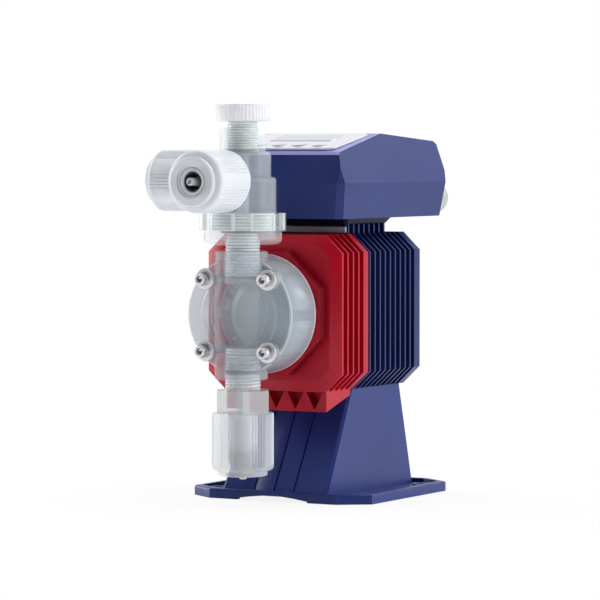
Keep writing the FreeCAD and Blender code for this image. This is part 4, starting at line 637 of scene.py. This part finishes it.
def tube_nut(side):
    """The tube nut: groups of five grooves along its side, stepped end, face ring and cone hole."""
    sector = FULL_TURN / 6
    grooves = 5
    pitch = math.radians(6.2)
    half_width = math.radians(1.9)
    depth = 0.85
    runout = 1.6

    def warp(radius, height, turn, index):
        if radius < NUT_R - 0.05 or height > NUT_SHOULDER:
            return radius, height
        local = (turn % sector) - sector / 2
        nearest = round(local / pitch)
        if abs(nearest) > grooves // 2:
            return radius, height
        off = abs(local - nearest * pitch)
        fade = min(1.0, (NUT_SHOULDER - height) / runout)
        cut = max(0.0, math.cos(min(off / half_width, 1.0) * QUARTER_TURN)) * depth * fade
        return radius - cut, height

    # The mouth of the hole and the groove of its face ring get dark grey as painted shade
    def in_painted_shade(center, normal):
        radius = center.xy.length
        at_mouth = 10.32 < radius < 10.6 and center.z > -1.1
        at_face_ring = 8.75 < radius < 9.05 and center.z > -2.0
        return at_mouth or at_face_ring

    outside = [
        (15.0, 0), (15.85, -0.7), (15.85, -3.4), (17.0, -3.4), (18.6, -3.9), (19.55, -5.0),
        (NUT_R, NUT_SHOULDER), (NUT_R, -7.8), (NUT_R, -39.9), (NUT_R - 0.5, -NUT_LENGTH),
    ]
    inside = [
        (10.1, -NUT_LENGTH), (9.7, -40.0), (9.7, -8.0), (6.7, -8.0), (6.6, -1.9), (7.3, -1.2), (8.75, -1.2),
        (8.8, -1.7), (9.0, -1.7), (9.05, -1.2), (10.3, -1.2), (10.5, -1.0), (10.5, -0.2), (10.8, 0),
    ]
    mesh = lathe(f"{side}_nut_piece", outside + inside, 360, warp)
    paint(mesh, 1, in_painted_shade)
    looks = (FROST_LOW if side == "suction" else FROST, FROST_PAINTED_SHADE)
    add_piece(f"{side}_nut_piece", mesh, looks, f"{side}_nut", port_matrix(side))


def tube_nipple(side):
    """The nipple with its cone behind the nut's hole."""
    outline = [
        (1.3, -19.1), (8.5, -19.1), (8.5, -16.3), (4.4, -16.3), (4.35, -13.5), (2.5, -5.0), (2.45, 1.6),
        (2.0, 2.35), (1.3, 2.4),
    ]
    mesh = lathe(f"{side}_nipple_piece", rounded(outline, 0.35, 2), 48)
    add_piece(f"{side}_nipple_piece", mesh, (NIPPLE,), f"{side}_nipple", port_matrix(side))


def port_thread(side):
    """The threaded sleeve under the tube nut."""
    low, high = -39.5, -20.5
    wall, warp = threaded(9.43, 9.66, low, high, PORT_PITCH)
    mesh = lathe(f"{side}_port_thread", wall + [(9.4, high), (9.4, low)], 72, warp)
    look = PORT_THREAD if side == "suction" else NIPPLE
    add_piece(f"{side}_port_thread", mesh, (look,), f"{side}_nipple", port_matrix(side), replaces=False)


def tube_ferrule(side):
    """The clamping ring whose collar stands in the nut's hole, near-black as painted shade in the hole."""
    outline = [
        (4.75, -16.0), (9.1, -16.0), (9.15, -8.1), (6.5, -8.1), (6.5, -2.6), (6.2, -2.2), (5.6, -2.4),
        (4.9, -6.0), (4.75, -8.0),
    ]
    mesh = lathe(f"{side}_ferrule_piece", outline, 64)
    add_piece(f"{side}_ferrule_piece", mesh, (SMOKE_PAINTED_SHADE,), f"{side}_ferrule", port_matrix(side))


# Valve column, in the pump's frame round the valves' axis

ON_VALVE = Matrix.Translation((0, VALVE_Y, 0))
CAGE_ROOT = 10.5
CAGE_CREST = 11.28
CAGE_WALL_FOOT = CAGE_ROOT - 0.6


def valve_guide(side):
    """A valve guide, whose outer wall carries the coarse thread that shows through the clear head."""
    low, high = heights(f"{side}_valve_guide")
    inner_end = high if side == "suction" else low
    wall, warp = threaded(CAGE_ROOT, CAGE_CREST, low + 0.3, high - 0.3, COARSE_PITCH)
    inside = [(3.3, high), (3.3, high - 2.0), (5.1, high - 2.6), (5.1, low)]
    outline = [(CAGE_WALL_FOOT, low)] + wall + [(CAGE_WALL_FOOT, high)] + inside
    mesh = lathe(f"{side}_valve_guide_piece", outline, 72, warp)
    # The guide's inner end is near-black as painted shade
    paint(mesh, 1, lambda center, normal: abs(center.z - inner_end) < 0.9)
    add_piece(f"{side}_valve_guide_piece", mesh, (COARSE, SMOKE_PAINTED_SHADE), f"{side}_valve_guide", ON_VALVE)


def discharge_fitting():
    """The union's neck with its coarse thread, and its flange in the ring nut."""
    low, high = heights("discharge_fitting")
    flange = heights("ring_nut")[0] + 3.5
    wall, warp = threaded(CAGE_ROOT, CAGE_CREST, low + 0.2, flange - 0.3, COARSE_PITCH)
    outline = [(CAGE_WALL_FOOT, low)] + wall + [
        (17.6, flange), (18, flange + 0.4), (18, high - 0.4), (17.6, high), (4.0, high), (4.0, low),
    ]
    mesh = lathe("discharge_fitting_piece", outline, 72, warp)
    add_piece("discharge_fitting_piece", mesh, (COARSE,), "discharge_fitting", ON_VALVE)


def vent_body_thread():
    """The thread on the vent body, under the ring nut."""
    low, high = 177.6, 187.6
    wall, warp = threaded(21.1, 21.36, low, high, RING_PITCH)
    mesh = lathe("vent_body_thread", wall + [(20.9, high), (20.9, low)], 96, warp)
    add_piece("vent_body_thread", mesh, (RING_THREAD,), "vent_body", ON_VALVE, replaces=False)


def suction_fitting_thread():
    """The screw ridge of triangular section that winds up the suction fitting."""
    root, crest = 11.25, 11.38
    low, high = 76.0, 84.5
    ridge_share = 0.62
    half_ridge = RING_PITCH * ridge_share / 2
    steps = 48
    count = int((high - low) / RING_PITCH * steps)
    bm = bmesh.new()
    rows = []
    for step in range(count + 1):
        turn = FULL_TURN * step / steps
        height = low + (high - low) * step / count
        fade = min(1.0, step / steps, (count - step) / steps)
        top = root + (crest - root) * fade
        corners = ((root, height - half_ridge), (top, height), (root, height + half_ridge))
        rows.append([polar(bm, r, turn, h) for r, h in corners])
    bar(bm, rows)
    mesh = outward(bm, "suction_fitting_thread")
    add_piece("suction_fitting_thread", mesh, (FITTING,), "suction_fitting", ON_VALVE, replaces=False)


def vent_knob():
    """The air vent's knob: fine flutes round its rim, a threaded neck and a dished top."""
    low, high = heights("vent_knob")
    rim_height = 11.0
    under = high - rim_height
    neck_top = under - 0.2
    rim = 17.25
    flutes = 46
    flute_depth = 0.34
    flute_foot = under + 0.9
    flute_top = high - 0.9
    neck_wall, neck_warp = threaded(9.2, 9.84, low + 0.6, under - 0.3, FINE_PITCH)

    def warp(radius, height, turn, index):
        if height < neck_top:
            return neck_warp(radius, height, turn, index)
        if radius < 16.0 or not flute_foot < height < flute_top:
            return radius, height
        return radius - flute_depth / 2 * (1 + math.cos(turn * flutes)), height

    outline = [(0, low), (8.6, low)] + neck_wall + [
        (9.0, under), (16.3, under), (16.9, under + 0.25), (17.2, under + 1.0), (rim, under + 1.5),
        (rim, high - 1.5), (17.2, high - 1.0), (16.8, high - 0.3), (16.1, high), (14.2, high),
        (13.6, high - 0.25), (0, high - 0.35),
    ]
    mesh = lathe("vent_knob_piece", outline, 276, warp)
    paint(mesh, 1, lambda center, normal: center.z < neck_top)
    add_piece("vent_knob_piece", mesh, (KNOB, FINE), "vent_knob", ON_VALVE)


def ring_nut():
    """The union's ring nut: rounded foot with fine flutes and six wide bevelled lugs."""
    low, high = heights("ring_nut")
    wall = 25.0
    lug_height = 11.0
    lug_low = high - lug_height
    flutes = 90
    flute_depth = 0.32
    flute_foot = low + 3.0
    flute_top = lug_low - 1.2
    lug_inner = 24.6
    lug_outer = 27.85
    lug_side = 27.2
    lug_bevel = 0.5
    lug_span = math.asin(9.0 / 27.9)
    steps = 10

    def warp(radius, height, turn, index):
        if radius < wall - 0.1 or not flute_foot <= height <= flute_top:
            return radius, height
        return radius - flute_depth / 2 * (1 + math.cos(turn * flutes)), height

    outline = [
        (11.7, low), (20.4, low), (22.6, low + 0.35), (24.2, low + 1.3), (24.85, low + 2.4),
        (wall, low + 3.3), (wall, lug_low - 1.6), (wall, lug_low - 0.8), (wall, high - 0.5), (24.6, high),
        (21.8, high), (21.4, high - 0.4), (21.4, low + 3.2), (11.7, low + 3.2),
    ]
    bm = bmesh.new()
    revolve(bm, outline, 360, warp)
    for number in range(6):
        middle = -QUARTER_TURN + number * math.pi / 3
        rows = []
        for step in range(steps + 1):
            turn = middle - lug_span + 2 * lug_span * step / steps
            across = lug_outer if 0 < step < steps else lug_side
            corners = [
                (lug_inner, lug_low), (across - lug_bevel, lug_low), (across, lug_low + lug_bevel),
                (across, high - lug_bevel), (across - lug_bevel, high), (lug_inner, high),
            ]
            rows.append([polar(bm, r, turn, h) for r, h in corners])
        along, ends = bar(bm, rows)
        # The lugs' bevels and ends get a paler, denser plastic as painted highlight
        bevels = [faces[side] for faces in along for side in (1, 3)]
        for face in ends + bevels + [along[0][2], along[-1][2]]:
            face.material_index = 1
    mesh = outward(bm, "ring_nut_piece")
    add_piece("ring_nut_piece", mesh, (FROST_CLEAR, EDGE_PAINTED_HIGHLIGHT), "ring_nut", ON_VALVE)


# Pump head, with its own depth from the seat forwards

HEAD_R = 38.8
HEAD_DEPTH = 33.8
BOSS_R = 17.1
BOSS_Y = VALVE_Y - 2.2
BORE_R = 11.45
BORE_CREST = 12.9
BORE_DEPTH = 21.0
BORE_PITCH = 2.6
LIP_FOOT = 2.2
LIP_TOP = 3.5
POCKET_INNER = 33.6
POCKET_OUTER = 36.2
POCKET_DEPTH = 22.0
HEAD_LOOKS = (HEAD, BOSS, BORE, RIM_PAINTED_HIGHLIGHT, LEFT_POCKET_PAINTED_LIGHT)


def joined_and_cut(base, steps):
    """The mesh of a base after others are joined to it or cut from it, each a mesh and its matrix."""
    base_mesh, base_matrix = base
    base_mesh.transform(base_matrix)
    base_object = linked("base", base_mesh)
    helpers = [base_object]
    for operation, mesh, matrix in steps:
        mesh.transform(matrix)
        modifier = base_object.modifiers.new(operation, "BOOLEAN")
        modifier.operation = operation
        modifier.solver = "EXACT"
        modifier.object = linked("tool", mesh)
        helpers.append(modifier.object)
    bpy.context.view_layer.update()
    graph = bpy.context.evaluated_depsgraph_get()
    result = bpy.data.meshes.new_from_object(base_object.evaluated_get(graph))
    for helper in helpers:
        bpy.data.objects.remove(helper)
    return result


def pocket_outline():
    """One coring pocket, between two radial ribs of equal thickness."""
    rib = 7.0
    steps = 6
    corners = []
    for radius, order in ((POCKET_INNER, 1), (POCKET_OUTER, -1)):
        edge = math.asin(rib / 2 / radius)
        span = math.pi / 4 - 2 * edge
        arc = [edge + span * step / steps for step in range(steps + 1)]
        corners += [(radius * math.cos(turn), radius * math.sin(turn)) for turn in arc[::order]]
    return corners[::-1]


def head_look(center, normal, middle, half):
    """The material of one of the head's faces, from where it lies and which way it points."""
    across = Vector((center.x, center.z - middle)).length
    depth = -HEAD_SEAT - center.y
    lip = HEAD_R - 0.6 < across < HEAD_R + 0.1 and LIP_FOOT - 0.1 < depth < LIP_TOP + 0.1
    front_edge = HEAD_R - 1.6 < across < HEAD_R and HEAD_DEPTH - 1.3 < depth < HEAD_DEPTH - 0.1
    # The lip and the front edge get a paler, denser plastic as painted highlight
    if lip or front_edge and -0.97 < normal.y < -0.3:
        return RIM_PAINTED_HIGHLIGHT
    in_pockets = POCKET_INNER - 1.6 < across < POCKET_OUTER + 0.8 and 0.5 < depth < POCKET_DEPTH + 1
    # The pocket walls on the left half only are made paler and clearer, as painted light
    if center.x < 0 and in_pockets:
        return LEFT_POCKET_PAINTED_LIGHT
    from_boss = Vector((center.x, center.y - BOSS_Y)).length
    if BOSS_R - 0.9 < from_boss < BOSS_R + 0.2 and depth > HEAD_DEPTH:
        return BOSS
    from_valve = Vector((center.x, center.y - VALVE_Y)).length
    if from_valve < BORE_CREST + 0.3 and abs(center.z - middle) > half - BORE_DEPTH - 0.5:
        return BORE
    return HEAD


def pump_head():
    """The clear head: disc with raised ring, valve boss, bolt bosses, pockets, chamber and bores."""
    low, high = heights("pump_head")
    half = (high - low) / 2
    middle = (high + low) / 2
    back = 0.15
    front = HEAD_DEPTH
    bolt_front = -HEAD_SEAT - depths("head_washers")[1]
    to_head = Matrix.Translation((0, -HEAD_SEAT, middle)) @ Matrix.Rotation(QUARTER_TURN, 4, "X")

    disc = [
        (0, back), (HEAD_R - 1.8, back), (HEAD_R - 1.6, LIP_FOOT), (HEAD_R, LIP_FOOT + 0.3),
        (HEAD_R, LIP_TOP - 0.3), (HEAD_R - 0.3, LIP_TOP), (HEAD_R - 0.3, front - 1.4),
        (HEAD_R - 0.7, front - 0.4), (HEAD_R - 1.7, front), (28.6, front), (28.0, front + 0.4),
        (27.6, front + 1.3), (26.8, front + 1.7), (22.0, front + 1.7), (21.4, front + 1.2),
        (21.0, front + 1.2), (20.4, front + 1.7), (19.0, front + 1.7), (18.4, front + 1.2),
        (0, front + 1.2),
    ]
    boss = [
        (0, -half), (BOSS_R - 0.7, -half), (BOSS_R, -half + 0.7),
        (BOSS_R, half - 0.7), (BOSS_R - 0.7, half), (0, half),
    ]
    pad = [(0, front - 3), (7.0, front - 3), (7.0, bolt_front - 0.5), (6.5, bolt_front), (0, bolt_front)]
    hole = [(0, -1), (2.6, -1), (2.6, bolt_front + 1), (0, bolt_front + 1)]
    chamber = [(0, -1), (32.3, -1), (32.3, 3.0), (24.0, 3.0), (18.0, 7.4), (0, 7.4)]

    steps = [("UNION", lathe("boss", boss, 96), Matrix.Translation((0, BOSS_Y, middle)))]
    for x in (-BOLT_HALF_PITCH, BOLT_HALF_PITCH):
        for z in (-BOLT_HALF_PITCH, BOLT_HALF_PITCH):
            place = to_head @ Matrix.Translation((x, z, 0))
            steps.append(("UNION", lathe("pad", pad, 48), place))
            steps.append(("DIFFERENCE", lathe("hole", hole, 32), place))
    for number in range(8):
        turned = to_head @ Matrix.Rotation(number * math.pi / 4, 4, "Z")
        steps.append(("DIFFERENCE", prism("pocket", pocket_outline(), -1, POCKET_DEPTH), turned))
    steps.append(("DIFFERENCE", lathe("chamber", chamber, 96), to_head))
    for tilt in (math.pi, 0):
        foot = half - BORE_DEPTH
        wall, warp = threaded(BORE_R, BORE_CREST, half - 18.5, half - 1.5, BORE_PITCH)
        bore = [(0, foot), (BORE_R, foot)] + wall + [(BORE_R, half + 1), (0, half + 1)]
        place = Matrix.Translation((0, VALVE_Y, middle)) @ Matrix.Rotation(tilt, 4, "X")
        steps.append(("DIFFERENCE", lathe("bore", bore, 72, warp), place))
    mesh = joined_and_cut((lathe("disc", disc, 160), to_head), steps)
    for polygon in mesh.polygons:
        look = head_look(polygon.center, polygon.normal, middle, half)
        polygon.material_index = HEAD_LOOKS.index(look)
    add_piece("pump_head_piece", mesh, HEAD_LOOKS, "pump_head", angle=25.0)


# Fasteners of the head, each in its own frame: from the bolt's face inwards is up

def bolt_mesh(name):
    """A socket cap screw with a knurled head and a hexagon socket."""
    head_r = 4.25
    knurls = 36
    knurl_depth = 0.20
    knurl_foot, knurl_top = 0.9, 4.6
    socket_half_width = 2.05
    outline = [
        (2.3, 3.2), (2.5, 0.15), (2.7, 0.0), (3.5, 0.0), (4.0, 0.3), (head_r, knurl_foot), (head_r, 2.6),
        (head_r, knurl_top), (4.1, 5.0), (2.5, 5.0), (2.5, 42.0), (2.0, 42.6), (0, 42.6), (0, 4.2),
    ]
    socket_corners = (0, 1)

    def warp(radius, height, turn, index):
        if index in socket_corners:
            local = (turn % (math.pi / 3)) - math.pi / 6
            return socket_half_width / math.cos(local), height
        if radius < head_r - 0.05 or not knurl_foot < height < knurl_top:
            return radius, height
        return radius - knurl_depth / 2 * (1 + math.cos(turn * knurls)), height

    return lathe(name, outline, 144, warp)


def split_washer_mesh(name, start):
    """A spring washer of rectangular section, cut at an angle; start turns its gap."""
    corners = ((2.7, 5.05), (4.55, 5.05), (4.55, 6.35), (2.7, 6.35))
    low = corners[0][1]
    steps = 48
    gap = 0.16
    skew = 0.10
    bm = bmesh.new()
    rows = []
    for step in range(steps + 1):
        turn = start + gap + (FULL_TURN - 2 * gap) * step / steps
        rows.append([polar(bm, r, turn + (skew if h > low else 0), h) for r, h in corners])
    bar(bm, rows)
    return outward(bm, name)


def head_fasteners():
    """The screws and both kinds of washer; the first of each kind replaces the CAD's four."""
    face = depths("head_bolts")[0]
    washer = rounded([(2.7, 6.42), (6.6, 6.42), (6.6, 7.46), (2.7, 7.46)], 0.3, 3)
    offsets = (-BOLT_HALF_PITCH, BOLT_HALF_PITCH)
    places = [(x, z) for z in offsets for x in offsets]

    # The screws' front faces, and the washers, get a whiter steel as painted reflection
    def on_front_painted_reflection(center, normal):
        return normal.y < -0.5 and center.y < (face + 1.0) * MM

    for number, (x, z) in enumerate(places):
        place = Matrix.Translation((x, face, AXIS_Z + z)) @ Matrix.Rotation(-QUARTER_TURN, 4, "X")
        replaces = number == 0
        name = f"head_bolt_{number}"
        bolt = add_piece(name, bolt_mesh(name), (STEEL, STEEL_PAINTED_REFLECTION), "head_bolts", place, replaces)
        paint(bolt.data, 1, on_front_painted_reflection)
        name = f"head_spring_washer_{number}"
        spring = split_washer_mesh(name, 0.6 + number)
        add_piece(name, spring, (STEEL,), "head_spring_washers", place, replaces)
        name = f"head_washer_{number}"
        add_piece(name, lathe(name, washer, 64), (STEEL_PAINTED_REFLECTION,), "head_washers", place, replaces)


# The scene

EDGE_WIDTHS = {
    "base_stand": 0.5,
    "front_bracket": 0.3,
    "bracket_ribs": 0.25,
    "drive_housing": 0.25,
    "housing_fins": 0.25,
    "neck_collar": 2.0,
    "operation_panel": 0.3,
    "rear_cover": 0.4,
    "gland_nuts": 0.4,
    "vent_body": 0.4,
    "controller_case": 1.6,
    "controller_lid": 1.6,
}


def on_lid_painted_highlight(center, normal):
    """The sloping front of the lid, round the panel, which gets a pale violet as painted highlight; the
    centre is in metres.
    """
    return normal.z > 0.6 and normal.y < -0.1 and center.y < -0.04


def on_seat_painted_shade(center, normal):
    """The wall of the bracket's raised seat, round the head, which gets a dark red as painted shade; the
    centre is in metres.
    """
    across = Vector((center.x, center.z - AXIS_Z * MM)).length
    return abs(normal.y) < 0.1 and center.y < -0.066 and 0.035 < across < 0.045


make_camera()
make_world()
make_floor()
make_lamp("left", (-2.6, -0.25, 0.9), (0, 0, 0.13), (1.6, 1.8), 54)
make_lamp("right", (2.6, 0.55, 0.7), (0, 0, 0.13), (1.4, 1.8), 44)
make_lamp("rear", (1.5, 2.2, 1.2), (0.03, 0.03, 0.2), (0.6, 0.6), 6)
make_lamp("top", (0.0, 0.3, 2.6), (0, 0, 0.12), (2.4, 2.4), 40)

dress_nodes()
softened_pieces = {node: softened(node, width) for node, width in EDGE_WIDTHS.items()}
softened_pieces["controller_lid"].data.materials.append(LID_SLOPE_PAINTED_HIGHLIGHT)
paint(softened_pieces["controller_lid"].data, 1, on_lid_painted_highlight)
softened_pieces["front_bracket"].data.materials.append(RED_SEAT_PAINTED_SHADE)
paint(softened_pieces["front_bracket"].data, 1, on_seat_painted_shade)
for side in ("suction", "discharge", "air"):
    tube_nut(side)
    tube_nipple(side)
    port_thread(side)
    tube_ferrule(side)
for side in ("suction", "discharge"):
    valve_guide(side)
discharge_fitting()
vent_body_thread()
suction_fitting_thread()
vent_knob()
ring_nut()
pump_head()
head_fasteners()

bpy.context.scene.view_settings.view_transform = "Standard"
